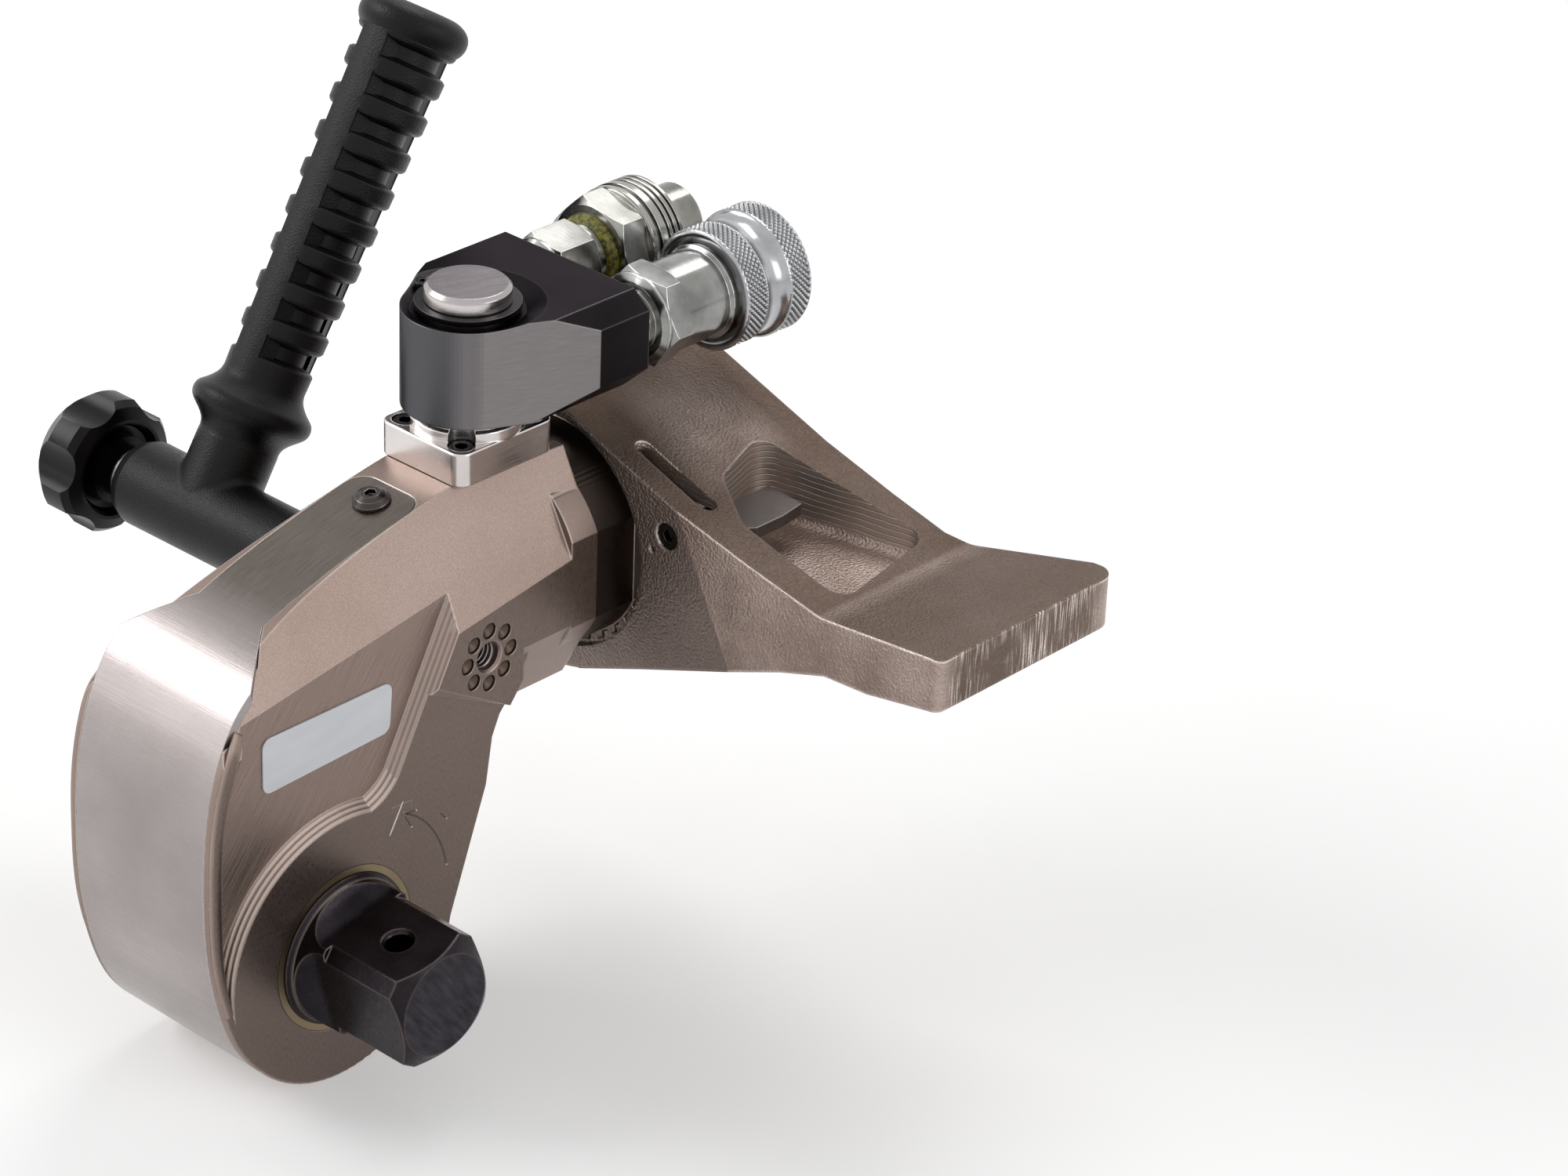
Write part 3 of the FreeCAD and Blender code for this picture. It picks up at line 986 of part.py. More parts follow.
def build_knob():
    """Six-lobed clamping knob with a hub towards the handle and a hollow front."""
    hub = turned([(0, 0), (0, 6.5), (KNOB_Y0 - TUBE_END_Y, 6.5), (KNOB_Y0 - TUBE_END_Y, 0)],
                 (ANCHOR_X, TUBE_END_Y + 1.6, ANCHOR_Z), (0, 1, 0))
    disc = turned([(0, 0), (0, 12.6), (1.2, 15.4), (3.0, KNOB_R), (9.8, KNOB_R), (13.6, 14.2), (15.6, 8.6),
                   (16.0, 0)], (ANCHOR_X, KNOB_Y0, ANCHOR_Z), (0, 1, 0))
    well = turned([(0, 8.4), (0, 11.8), (2.4, 10.4), (3.0, 8.4)], (ANCHOR_X, KNOB_Y0, ANCHOR_Z), (0, 1, 0))
    reach = KNOB_R + 6.9
    scallop = cyl(9.5, (ANCHOR_X + reach, KNOB_Y0 - 5, ANCHOR_Z), (ANCHOR_X + reach, KNOB_Y0 + 25, ANCHOR_Z))
    scallop.rotate(V(ANCHOR_X, 0, ANCHOR_Z), V(0, -1, 0), KNOB_LOBE_DEG - 30.0)
    scallops = pattern(scallop, 6, (ANCHOR_X, 0, ANCHOR_Z), (0, 1, 0))
    knob = disc.cut(well).cut(Part.makeCompound(scallops)).fuse(hub)
    return knob.cut(cyl(STUD_R + SEAT, (ANCHOR_X, 100, ANCHOR_Z), (ANCHOR_X, KNOB_Y0 + 9.0, ANCHOR_Z)))


def build_stud():
    """Clamp stud from the knob through the handle into the anchor hole."""
    start = HEAD_W + BOSS_PROUD - ANCHOR_DEPTH + 1.5
    shoulder = HANDLE_Y0 - 0.2 - start
    length = KNOB_Y0 + 8.9 - start
    thread = ANCHOR_R - RUN
    return turned([(0, 0), (0, ANCHOR_R - 0.8), (0.8, thread), (shoulder, thread), (shoulder + 0.6, STUD_R),
                   (length, STUD_R), (length, 0)], (ANCHOR_X, start, ANCHOR_Z), (0, 1, 0))


def build_washer():
    """Washer between the handle sleeve and the knob."""
    y0 = TUBE_END_Y + 0.65
    return cyl(7.4, (ANCHOR_X, y0, ANCHOR_Z), (ANCHOR_X, y0 + 0.85, ANCHOR_Z)).cut(
        cyl(STUD_R + RUN, (ANCHOR_X, y0 - 1, ANCHOR_Z), (ANCHOR_X, y0 + 2, ANCHOR_Z)))


def node_builders():
    """Return every node's name with the function that builds it."""
    front_y, rear_y = MID_Y - PORT_DY, MID_Y + PORT_DY
    return {
        "housing": build_housing,
        "shroud": build_shroud,
        "shroud_screw": build_shroud_screw,
        "front_bushing": lambda: bush(0.1, CAVITY_Y0),
        "rear_bushing": lambda: bush(CAVITY_Y1, HEAD_W - 0.1),
        "rod_gland": build_gland,
        "gland_seal": lambda: ring_solid(ROD_R + 0.05, 11.35, 51.5, 54.3),
        "end_plug": build_plug,
        "plug_seal": lambda: ring_solid(BORE_R - 1.95, BORE_R - 0.02, 124.2, 127.2),
        "swivel_post": build_swivel_post,
        "flange_screws": build_flange_screws,
        "post_circlip": build_circlip,
        "post_seals": build_post_seals,
        "piston": build_piston,
        "piston_seal": lambda: ring_solid(BORE_R - 2.9, BORE_R - 0.04, 97.3, 100.7),
        "piston_rod": build_rod,
        "piston_nut": build_piston_nut,
        "lever_plate_front": lambda: lever_plate(9.0, 14.0),
        "lever_plate_rear": lambda: lever_plate(HEAD_W - 14.0, HEAD_W - 9.0),
        "crank_pin": lambda: at_lever(cyl(PIN_R - SEAT, (0, 9.2, CRANK_R), (0, HEAD_W - 9.2, CRANK_R))),
        "pawl_guide": build_pawl_guide,
        "guide_pins": build_guide_pins,
        "drive_pawl": build_pawl,
        "pawl_springs": build_pawl_springs,
        "ratchet_wheel": build_ratchet,
        "square_drive": build_square_drive,
        "drive_retainer": build_retainer,
        "release_button": build_button,
        "button_spring": build_button_spring,
        "reaction_arm": build_arm,
        "latch_screw": build_latch_screw,
        "latch_lever": build_latch,
        "latch_spring": lambda: coil(1.4, 0.3, 1.3, 5.0, (LATCH_X0 + LATCH_T / 2, -20.0, 70.4), (0, 0, 1)),
        "swivel_block": build_swivel_block,
        "front_adapter": build_front_adapter,
        "female_coupler": build_female_coupler,
        "female_poppet": lambda: poppet(SWIVEL_FACE_X + 22.4, front_y, 6.2, 13.0),
        "coupler_collar": build_collar,
        "rear_adapter": build_rear_adapter,
        "thread_sealant": build_sealant,
        "male_coupler": build_male_coupler,
        "male_poppet": lambda: poppet(SWIVEL_FACE_X + 33.3, rear_y, 4.5, 18.9),
        "handle_grip": build_handle,
        "handle_sleeve": build_sleeve,
        "clamp_knob": build_knob,
        "clamp_stud": build_stud,
        "knob_washer": build_washer,
    }


def write_nodes():
    """Write each node to its own STEP file."""
    os.makedirs("parts", exist_ok=True)
    for name, build in node_builders().items():
        shape = build()
        if not shape.isValid() or not shape.Solids:
            raise ValueError(f"{name} isn't a valid solid")
        shape.exportStep(f"parts/{name}.step")


write_nodes()
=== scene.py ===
"""Looks of a hydraulic torque wrench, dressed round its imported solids.

Metres, +Z up. The origin is where the drive axis meets the nose face, -Y points out of the
square drive and +X runs along the cylinder. Every pattern reads Object coordinates, which are
the wrench's own, because each piece's object sits at the origin.
"""

import logging
import math
from dataclasses import dataclass, field
from enum import Enum
from functools import cache
from typing import Optional, Sequence

import bpy
import numpy as np
from mathutils import Matrix, Vector


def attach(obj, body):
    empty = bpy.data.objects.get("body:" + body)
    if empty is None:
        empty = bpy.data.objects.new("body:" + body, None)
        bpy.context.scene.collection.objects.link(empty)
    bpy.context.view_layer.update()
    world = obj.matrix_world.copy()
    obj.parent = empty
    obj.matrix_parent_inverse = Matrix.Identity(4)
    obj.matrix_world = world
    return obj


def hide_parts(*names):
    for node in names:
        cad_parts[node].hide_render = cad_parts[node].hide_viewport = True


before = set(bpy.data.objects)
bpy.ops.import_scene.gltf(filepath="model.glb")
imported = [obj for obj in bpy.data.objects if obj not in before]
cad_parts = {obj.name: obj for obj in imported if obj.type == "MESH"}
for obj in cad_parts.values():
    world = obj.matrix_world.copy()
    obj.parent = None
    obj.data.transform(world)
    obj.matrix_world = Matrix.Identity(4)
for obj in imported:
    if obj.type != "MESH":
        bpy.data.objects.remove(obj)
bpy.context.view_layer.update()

LOG = logging.getLogger("torque_wrench")
MM = 0.001
Colour = tuple[float, float, float]
Point = tuple[float, float, float]
Span = tuple[float, float]
Socket = bpy.types.NodeSocket
Look = tuple[Socket, Socket, Socket]
Piece = bpy.types.Object


class Grain(Enum):
    """How a surface was finished, which sets the run of its fine marks."""

    BLASTED = "blasted"
    CAST = "cast"
    PLATED = "plated"
    BRUSHED_X = "brushed along X"
    BRUSHED_Y = "brushed along Y"
    TURNED = "turned about an axis"


GRAIN_SCALE = {
    Grain.BLASTED: (3200.0, 3200.0, 3200.0),
    Grain.CAST: (1500.0, 1500.0, 1500.0),
    Grain.PLATED: (900.0, 900.0, 900.0),
    Grain.BRUSHED_X: (60.0, 4200.0, 4200.0),
    Grain.BRUSHED_Y: (4200.0, 60.0, 4200.0),
}


class Graph:
    """A material's node tree, with one short method for each kind of node."""

    def __init__(self, name: str) -> None:
        """Start a material with a bare Principled shader.

        Args:
            name: the material's name.
        """
        self.material = bpy.data.materials.new(name)
        self.material.use_nodes = True
        self.tree = self.material.node_tree
        self.shader = self.tree.nodes["Principled BSDF"]
        self.point = self.node("ShaderNodeTexCoord").outputs["Object"]

    def node(self, kind: str, **settings: object) -> bpy.types.Node:
        """Add a node and set its properties.

        Args:
            kind: Blender's node type.
            settings: properties of the node, by name.

        Returns:
            The new node.
        """
        made = self.tree.nodes.new(kind)
        for name, value in settings.items():
            setattr(made, name, value)
        return made

    def feed(self, socket: Socket, value: object) -> None:
        """Link a socket to an output, or set it to a plain value.

        Args:
            socket: the input that is fed.
            value: another node's output, a number or a colour.
        """
        if isinstance(value, bpy.types.NodeSocket):
            self.tree.links.new(value, socket)
        elif isinstance(value, tuple) and len(value) == 3 and socket.type == "RGBA":
            socket.default_value = (*value, 1.0)
        else:
            socket.default_value = value

    def maths(self, operation: str, first: object, second: object = 0.0) -> Socket:
        """Return a Math node's output.

        Args:
            operation: Blender's name of the operation.
            first: its first input.
            second: its second input, where it has one.

        Returns:
            The result.
        """
        made = self.node("ShaderNodeMath", operation=operation)
        for socket, value in zip(made.inputs, (first, second)):
            self.feed(socket, value)
        return made.outputs[0]

    def spread(self, value: Socket, low: float, high: float, to_low: float = 0.0,
               to_high: float = 1.0) -> Socket:
        """Map a value from one range to another, with its ends held.

        Args:
            value: the value.
            low, high: the range that it comes from.
            to_low, to_high: the range that it goes to.

        Returns:
            The mapped value.
        """
        made = self.node("ShaderNodeMapRange")
        for name, given in (("Value", value), ("From Min", low), ("From Max", high), ("To Min", to_low),
                            ("To Max", to_high)):
            self.feed(made.inputs[name], given)
        return made.outputs[0]

    def blend(self, share: object, first: object, second: object) -> Socket:
        """Mix two colours or values.

        Args:
            share: how much of the second one shows, from 0 to 1.
            first: the one at 0.
            second: the one at 1.

        Returns:
            The mix.
        """
        made = self.node("ShaderNodeMix", data_type="RGBA")
        for index, value in ((0, share), (6, first), (7, second)):
            self.feed(made.inputs[index], value)
        return made.outputs[2]

    def axis(self, name: str, vector: Optional[Socket] = None) -> Socket:
        """Take one component of a vector.

        Args:
            name: X, Y or Z.
            vector: the vector, or None for the surface's own point.

        Returns:
            The component.
        """
        made = self.node("ShaderNodeSeparateXYZ")
        self.feed(made.inputs[0], vector or self.point)
        return made.outputs[name]

    def mapped(self, scale: Sequence[float], turn: Sequence[float] = (0.0, 0.0, 0.0),
               source: Optional[Socket] = None) -> Socket:
        """Turn and scale a point, for a stretched pattern.

        Args:
            scale: the scale along each axis, after the turn.
            turn: the turn about each axis, in degrees.
            source: the point, or None for the surface's own.

        Returns:
            The turned and scaled point.
        """
        rotate = self.node("ShaderNodeMapping")
        self.feed(rotate.inputs["Vector"], source or self.point)
        rotate.inputs["Rotation"].default_value = [math.radians(value) for value in turn]
        stretch = self.node("ShaderNodeMapping")
        self.feed(stretch.inputs["Vector"], rotate.outputs[0])
        stretch.inputs["Scale"].default_value = scale
        return stretch.outputs[0]

    def noise(self, scale: Sequence[float], detail: float = 2.0, turn: Sequence[float] = (0.0, 0.0, 0.0),
              source: Optional[Socket] = None) -> Socket:
        """Make fractal noise, stretched by its three scales.

        Args:
            scale: the scale along each axis.
            detail: the number of finer layers.
            turn: the turn about each axis, in degrees.
            source: the point, or None for the surface's own.

        Returns:
            A value between 0 and 1.
        """
        made = self.node("ShaderNodeTexNoise")
        self.feed(made.inputs["Vector"], self.mapped(scale, turn, source))
        made.inputs["Scale"].default_value = 1.0
        made.inputs["Detail"].default_value = detail
        return made.outputs[0]

    def cells(self, scale: float) -> Socket:
        """Measure the distance to the nearest of scattered points.

        Args:
            scale: points in a metre, about.

        Returns:
            The distance, in spacings.
        """
        made = self.node("ShaderNodeTexVoronoi")
        self.feed(made.inputs["Vector"], self.point)
        made.inputs["Scale"].default_value = scale
        return made.outputs["Distance"]

    def radius(self, axis: str, centre: Sequence[float]) -> Socket:
        """Measure the distance from a line along an axis.

        Args:
            axis: X, Y or Z.
            centre: a point on the line.

        Returns:
            The distance in metres.
        """
        shifted = self.node("ShaderNodeVectorMath", operation="SUBTRACT")
        self.feed(shifted.inputs[0], self.point)
        shifted.inputs[1].default_value = centre
        keep = self.node("ShaderNodeVectorMath", operation="MULTIPLY")
        self.feed(keep.inputs[0], shifted.outputs[0])
        keep.inputs[1].default_value = [0.0 if name == axis else 1.0 for name in "XYZ"]
        length = self.node("ShaderNodeVectorMath", operation="LENGTH")
        self.feed(length.inputs[0], keep.outputs[0])
        return length.outputs["Value"]

    def rings(self, axis: str, centre: Sequence[float], scale: float) -> Socket:
        """Make noise that changes only along an axis and with the distance from it, as lathe marks do.

        Args:
            axis: X, Y or Z.
            centre: a point on the axis.
            scale: marks in a metre, about.

        Returns:
            A value between 0 and 1.
        """
        place = self.node("ShaderNodeCombineXYZ")
        self.feed(place.inputs[0], self.radius(axis, centre))
        self.feed(place.inputs[1], self.axis(axis))
        return self.noise((scale, scale, scale), 3.0, source=place.outputs[0])

    def ridges(self, value: Socket, pitch: float) -> Socket:
        """Return rounded ridges of the given pitch, |sin(pi value / pitch)|."""
        return self.maths("ABSOLUTE", self.maths("SINE", self.maths("MULTIPLY", value, math.pi / pitch)))

    def facing(self, axis: str) -> Socket:
        """Return how far the surface faces along an axis, from -1 to 1."""
        return self.axis(axis, self.node("ShaderNodeNewGeometry").outputs["True Normal"])

    def band(self, value: Socket, low: float, high: float, soft: float) -> Socket:
        """Mark where a value lies between two limits.

        Args:
            value: the value.
            low, high: the limits.
            soft: half the width of each soft end.

        Returns:
            1 between the limits and 0 beyond them.
        """
        rise = self.spread(value, low - soft, low + soft)
        fall = self.spread(value, high - soft, high + soft, 1.0, 0.0)
        return self.product(rise, fall)

    def product(self, *values: object) -> Socket:
        """Multiply masks and numbers.

        Args:
            values: the masks and numbers.

        Returns:
            Their product.
        """
        total = values[0]
        for value in values[1:]:
            total = self.maths("MULTIPLY", total, value)
        return total

    def rounded(self, radius: float) -> Socket:
        """Ease the edges.

        Args:
            radius: how far an edge is eased, in metres.

        Returns:
            The eased normal.
        """
        made = self.node("ShaderNodeBevel", samples=6)
        made.inputs["Radius"].default_value = radius
        return made.outputs[0]

    def edges(self, normal: Socket, low: float = 0.9995, high: float = 0.93) -> Socket:
        """Mark the edges, where the eased normal leaves the true one.

        Args:
            normal: the eased normal.
            low, high: cosines of the angle between the two where an edge begins and is full.

        Returns:
            0 on flat faces and 1 on edges.
        """
        turn = self.node("ShaderNodeVectorMath", operation="DOT_PRODUCT")
        self.feed(turn.inputs[0], normal)
        self.feed(turn.inputs[1], self.node("ShaderNodeNewGeometry").outputs["Normal"])
        return self.spread(turn.outputs["Value"], low, high)

    def bump(self, height: Socket, depth: float, normal: Optional[Socket] = None) -> Socket:
        """Bend the normal by a height.

        Args:
            height: the height, from 0 to 1.
            depth: the depth of a height of 1, in metres.
            normal: the normal that is bent, or None for the surface's own.

        Returns:
            The bent normal.
        """
        made = self.node("ShaderNodeBump")
        made.inputs["Distance"].default_value = depth
        self.feed(made.inputs["Height"], height)
        if normal is not None:
            self.feed(made.inputs["Normal"], normal)
        return made.outputs[0]

    def finish(self, colour: object, roughness: object, normal: Optional[Socket] = None,
               **fixed: object) -> bpy.types.Material:
        """Feed the shader and return the material.

        Args:
            colour: base colour, as a socket or three numbers.
            roughness: roughness, as a socket or a number.
            normal: the bent normal, if any.
            fixed: other shader inputs that are the same all over, with _ for a space.

        Returns:
            The finished material.
        """
        self.feed(self.shader.inputs["Base Color"], colour)
        self.feed(self.shader.inputs["Roughness"], roughness)
        if normal is not None:
            self.feed(self.shader.inputs["Normal"], normal)
        for name, value in fixed.items():
            self.shader.inputs[name.replace("_", " ")].default_value = value
        return self.material


def scaled(colour: Colour, share: float) -> Colour:
    """Return a colour made darker or lighter."""
    return tuple(share * part for part in colour)


@dataclass(frozen=True)
class MetalFinish:
    """A metal with patchy colour, fine marks, eased edges and its own wear."""

    name: str
    dark: Colour
    light: Colour
    edge: Colour
    rough: Span
    grain: Grain
    depth: float = 0.00001
    ease: float = 0.0004
    patch: float = 45.0
    axis: str = "Y"
    centre: Point = (0.0, 0.0, 0.0)
    metal: float = 1.0
    rim_tint: Colour = (1.0, 1.0, 1.0)

    def marks(self, g: Graph) -> Socket:
        """Make the fine marks that the finish leaves.

        Args:
            g: the material's node tree.

        Returns:
            A value between 0 and 1.
        """
        if self.grain is Grain.TURNED:
            return g.rings(self.axis, self.centre, 3800.0)
        return g.noise(GRAIN_SCALE[self.grain], 3.0)

    def details(self, g: Graph, colour: Socket, rough: Socket, normal: Socket) -> Look:
        """Add the piece's own marks; plain metal has none.

        Args:
            g: the material's node tree.
            colour, rough, normal: the look so far.

        Returns:
            The colour, roughness and normal with the marks.
        """
        return colour, rough, normal

    def make(self) -> bpy.types.Material:
        """Build the material: patches, fine marks, edges coloured paler (partly worn, partly a painted
        highlight), then the piece's own marks.

        Returns:
            The material.
        """
        g = Graph(self.name)
        patches = g.spread(g.noise((self.patch,) * 3, 4.0), 0.32, 0.68)
        marks = self.marks(g)
        colour = g.blend(patches, self.dark, self.light)
        colour = g.blend(g.spread(marks, 0.3, 0.7, 0.0, 0.35), colour, self.dark)
        rough = g.maths("ADD", g.spread(marks, 0.25, 0.75, self.rough[0], self.rough[1]),
                        g.spread(patches, 0.0, 1.0, -0.03, 0.03))
        eased = g.rounded(self.ease)
        edges = g.edges(eased)
        # Edges are coloured paler: partly worn edges, partly a painted highlight.
        colour = g.blend(g.product(edges, 0.75), colour, self.edge)
        rough = g.maths("SUBTRACT", rough, g.product(edges, 0.12))
        normal = g.bump(marks, self.depth, eased)
        colour, rough, normal = self.details(g, colour, rough, normal)
        return g.finish(colour, rough, normal, Metallic=self.metal, Specular_Tint=(*self.rim_tint, 1.0))


@dataclass(frozen=True)
class HousingFinish(MetalFinish):
    """Nickel plate over blasted facets, with a milled panel, smooth leg, painted highlights and shade on the
    stepped walls, and painted shade on the neck.
    """

    width: float = 46.0 * MM
    panel_y: float = 3.0 * MM
    smooth: float = 0.58
    neck_shade: Colour = (0.045, 0.034, 0.029)
    neck_x: Span = (76.46 * MM, 88.45 * MM)
    dimple: Colour = (0.10, 0.072, 0.055)
    anchor: Point = (42.6 * MM, 0.0, 58.7 * MM)

    def details(self, g: Graph, colour: Socket, rough: Socket, normal: Socket) -> Look:
        """Add the panel's slanting scratches, the stepped walls with painted highlights and shade, the leg,
        the neck's painted shade and the dimples.

        Args:
            g: the material's node tree.
            colour, rough, normal: the look so far.

        Returns:
            The look with the marks.
        """
        x, y = g.axis("X"), g.axis("Y")
        inward = g.maths("MINIMUM", y, g.maths("SUBTRACT", self.width, y))
        sideways = g.maths("ABSOLUTE", g.facing("Y"))
        flat = g.spread(sideways, 0.965, 0.985)
        scratches = g.noise((4200.0, 1.0, 60.0), 4.0, (0.0, -38.0, 0.0))
        panel = g.product(flat, g.band(inward, self.panel_y - 0.3 * MM, self.panel_y + 0.3 * MM, 0.1 * MM))
        milled = g.blend(g.spread(scratches, 0.35, 0.65), self.dark, self.light)
        colour = g.blend(g.product(panel, 0.8), colour, milled)
        rough = g.blend(panel, rough, g.spread(scratches, 0.3, 0.7, 0.2, 0.4))
        side = g.product(flat, g.spread(inward, 0.6 * MM, 0.4 * MM))
        grit = g.noise((2400.0, 2400.0, 900.0), 3.0)
        calm = g.blend(g.spread(grit, 0.3, 0.7), scaled(self.dark, self.smooth),
                       scaled(self.light, self.smooth))
        colour = g.blend(g.product(side, 0.8), colour, calm)
        rough = g.blend(side, rough, g.spread(grit, 0.3, 0.7, 0.26, 0.38))
        wall = g.band(sideways, 0.58, 0.67, 0.03)
        steps = g.ridges(inward, 1.0 * MM)
        # Painted highlights and shade on the stepped walls: ridge crests coloured pale and hollows dark, over
        # a real bump.
        colour = g.blend(g.product(wall, g.spread(steps, 0.5, 0.0), 0.35), colour, self.dark)
        colour = g.blend(g.product(wall, g.spread(steps, 0.5, 1.0), 0.55), colour, self.edge)
        near = g.band(g.radius("Y", self.anchor), 4.3 * MM, 8.9 * MM, 0.1 * MM)
        pits = g.product(near, g.spread(inward, -1.42 * MM, -1.30 * MM), g.spread(inward, 0.4 * MM, 0.3 * MM))
        colour = g.blend(pits, colour, self.dimple)
        # Painted shade: the neck between the head and the arm is coloured near black.
        neck_shade = g.band(x, *self.neck_x, 0.02 * MM)
        colour = g.blend(neck_shade, colour, self.neck_shade)
        height = g.maths("ADD", g.product(scratches, panel, 0.2), g.product(steps, wall, 0.7))
        return colour, rough, g.bump(height, 0.0002, normal)


@dataclass(frozen=True)
class ShroudFinish(MetalFinish):
    """Brushed cover whose tab along the top is coloured darker, with fine lines along it."""

    tab: float = 0.34
    olive: Colour = (1.06, 1.0, 0.9)
    bend_z: float = 80.0 * MM

    def details(self, g: Graph, colour: Socket, rough: Socket, normal: Socket) -> Look:
        """Darken the tab with fine lines along it, and add faint soft bands down the back.

        Args:
            g: the material's node tree.
            colour, rough, normal: the look so far.

        Returns:
            The look with the marks.
        """
        top = g.spread(g.axis("Z"), self.bend_z - 2 * MM, self.bend_z + 4 * MM)
        along = g.noise((70.0, 3800.0, 500.0), 3.0)
        darker, lighter = (tuple(self.tab * c * w for c, w in zip(shade, self.olive))
                           for shade in (self.dark, self.light))
        tone = g.blend(g.spread(along, 0.35, 0.65), darker, lighter)
        colour = g.blend(top, colour, tone)
        bands = g.spread(g.noise((3.0, 3.0, 70.0), 2.0), 0.4, 0.6)
        colour = g.blend(g.product(bands, 0.22), colour, self.dark)
        return colour, rough, normal


@dataclass(frozen=True)
class ArmFinish(MetalFinish):
    """Cast and plated arm: machined ring face with painted shade, milled pocket walls, painted shade on its
    upward faces and a darker foot end.
    """

    ring_x: float = 85.5 * MM
    ring_centre: Point = (0.0, 23 * MM, 67 * MM)
    pocket_x: Span = (95.5 * MM, 132 * MM)
    pocket_y: Span = (-60 * MM, -8 * MM)
    hollow_x: Span = (102 * MM, 124 * MM)
    hollow_y: Span = (-12 * MM, 16 * MM)
    foot_x: Span = (93 * MM, 143 * MM)
    foot_y: float = -93.8 * MM
    foot_z: float = 75.0 * MM
    top_shade_dark: Colour = (0.051, 0.028, 0.016)
    top_shade_and_end_tone: Colour = (0.078, 0.046, 0.028)

    def details(self, g: Graph, colour: Socket, rough: Socket, normal: Socket) -> Look:
        """Add milling lines in the pocket, painted shade on the upward faces, the turned ring face with
        painted shade, and the foot's ground end, coloured darker.

        Args:
            g: the material's node tree.
            colour, rough, normal: the look so far.

        Returns:
            The look with the marks.
        """
        x, y, z = g.axis("X"), g.axis("Y"), g.axis("Z")
        upright = g.spread(g.maths("ABSOLUTE", g.facing("Z")), 0.4, 0.25)
        inside = g.product(g.band(y, *self.pocket_y, MM), g.band(x, *self.pocket_x, MM), upright)
        wander = g.maths("ADD", z, g.product(g.noise((70.0,) * 3), 1.6 * MM))
        lines = g.product(g.spread(g.ridges(wander, 1.5 * MM), 0.0, 0.3, 1.0, 0.0), inside)
        colour = g.blend(g.product(inside, 0.8), colour, scaled(self.edge, 0.62))
        normal = g.blend(inside, normal, g.node("ShaderNodeNewGeometry").outputs["Normal"])
        colour = g.blend(g.product(lines, 0.9), colour, scaled(self.dark, 0.1))
        hollow = g.product(g.band(x, *self.hollow_x, 6 * MM), g.band(y, *self.hollow_y, 7 * MM))
        # Painted shade: upward faces above the pocket are coloured dark, less so in the hollow behind the
        # pocket.
        above_pocket = g.spread(z, self.foot_z - 0.5 * MM, self.foot_z + 0.5 * MM)
        flat = g.product(g.spread(g.facing("Z"), 0.80, 0.92), above_pocket,
                         g.spread(hollow, 0.0, 1.0, 1.0, 0.2))
        swirl = g.noise((900.0, 900.0, 1.0), 4.0, (0.0, 0.0, 30.0))
        top_shade = g.blend(g.spread(swirl, 0.2, 0.8), self.top_shade_dark, self.top_shade_and_end_tone)
        colour = g.blend(g.product(flat, 0.88), colour, top_shade)
        rough = g.blend(flat, rough, g.spread(swirl, 0.3, 0.7, 0.32, 0.42))
        across = g.band(x, *self.foot_x, 3 * MM)
        end = g.product(g.spread(y, self.foot_y + 0.4 * MM, self.foot_y + 0.2 * MM), across)
        grinding = g.noise((2600.0, 30.0, 110.0), 5.0)
        wide = g.noise((60.0, 1.0, 90.0), 3.0)
        # The foot's end is coloured darker, with pale grinding scuffs.
        colour = g.blend(g.product(end, 0.8), colour, self.top_shade_and_end_tone)
        scuffs = g.product(end, g.spread(grinding, 0.50, 0.62), g.spread(wide, 0.35, 0.6))
        colour = g.blend(g.product(scuffs, 0.75), colour, self.edge)
        # Painted shade: the ring face is coloured darker; its lathe rings in the roughness are real.
        face = g.product(g.spread(x, self.ring_x + 0.05 * MM, self.ring_x + 0.02 * MM),
                         g.spread(g.facing("X"), -0.9, -0.99))
        rings = g.rings("X", self.ring_centre, 2600.0)
        colour = g.blend(g.product(face, 0.75), colour, scaled(self.light, 0.36))
        rough = g.blend(face, rough, g.spread(rings, 0.3, 0.7, 0.3, 0.42))
        height = g.maths("ADD", g.product(grinding, end, 0.4), g.product(lines, -0.6))
        return colour, rough, g.bump(height, 0.0003, normal)


@dataclass(frozen=True)
class BlockFinish(MetalFinish):
    """Black oxide block whose two slanting sides were brushed back to grey steel."""

    brushed: Colour = (0.222, 0.205, 0.206)
    round_end: Colour = (0.105, 0.106, 0.114)
    slant: float = 0.46

    def details(self, g: Graph, colour: Socket, rough: Socket, normal: Socket) -> Look:
        """Add brushed steel on the slanting sides, which fades out round the post's end, and a painted sheen
        band round that end.

        Args:
            g: the material's node tree.
            colour, rough, normal: the look so far.

        Returns:
            The look with the marks.
        """
        upright = g.spread(g.maths("ABSOLUTE", g.facing("Z")), 0.1, 0.05)
        lean = g.product(g.facing("X"), -1.0)
        sides = g.product(upright, g.spread(lean, self.slant - 0.10, self.slant - 0.02),
                          g.spread(lean, self.slant + 0.22, self.slant + 0.04))
        strokes = g.noise((220.0, 220.0, 7600.0), 4.0)
        tone = g.blend(g.spread(strokes, 0.3, 0.7), scaled(self.brushed, 0.86), scaled(self.brushed, 1.13))
        rounded = g.product(upright, g.spread(lean, self.slant, self.slant + 0.1), 0.9)
        colour = g.blend(rounded, colour, self.round_end)
        # Painted sheen: a band of faces round the rounded end is coloured lighter.
        painted_sheen = g.band(lean, 0.60, 0.80, 0.08)
        colour = g.blend(g.product(upright, painted_sheen, 0.7), colour, scaled(self.brushed, 0.9))
        colour = g.blend(sides, colour, tone)
        rough = g.blend(sides, rough, g.spread(strokes, 0.3, 0.7, 0.28, 0.42))
        return colour, rough, g.bump(g.product(strokes, sides), 0.00002, normal)


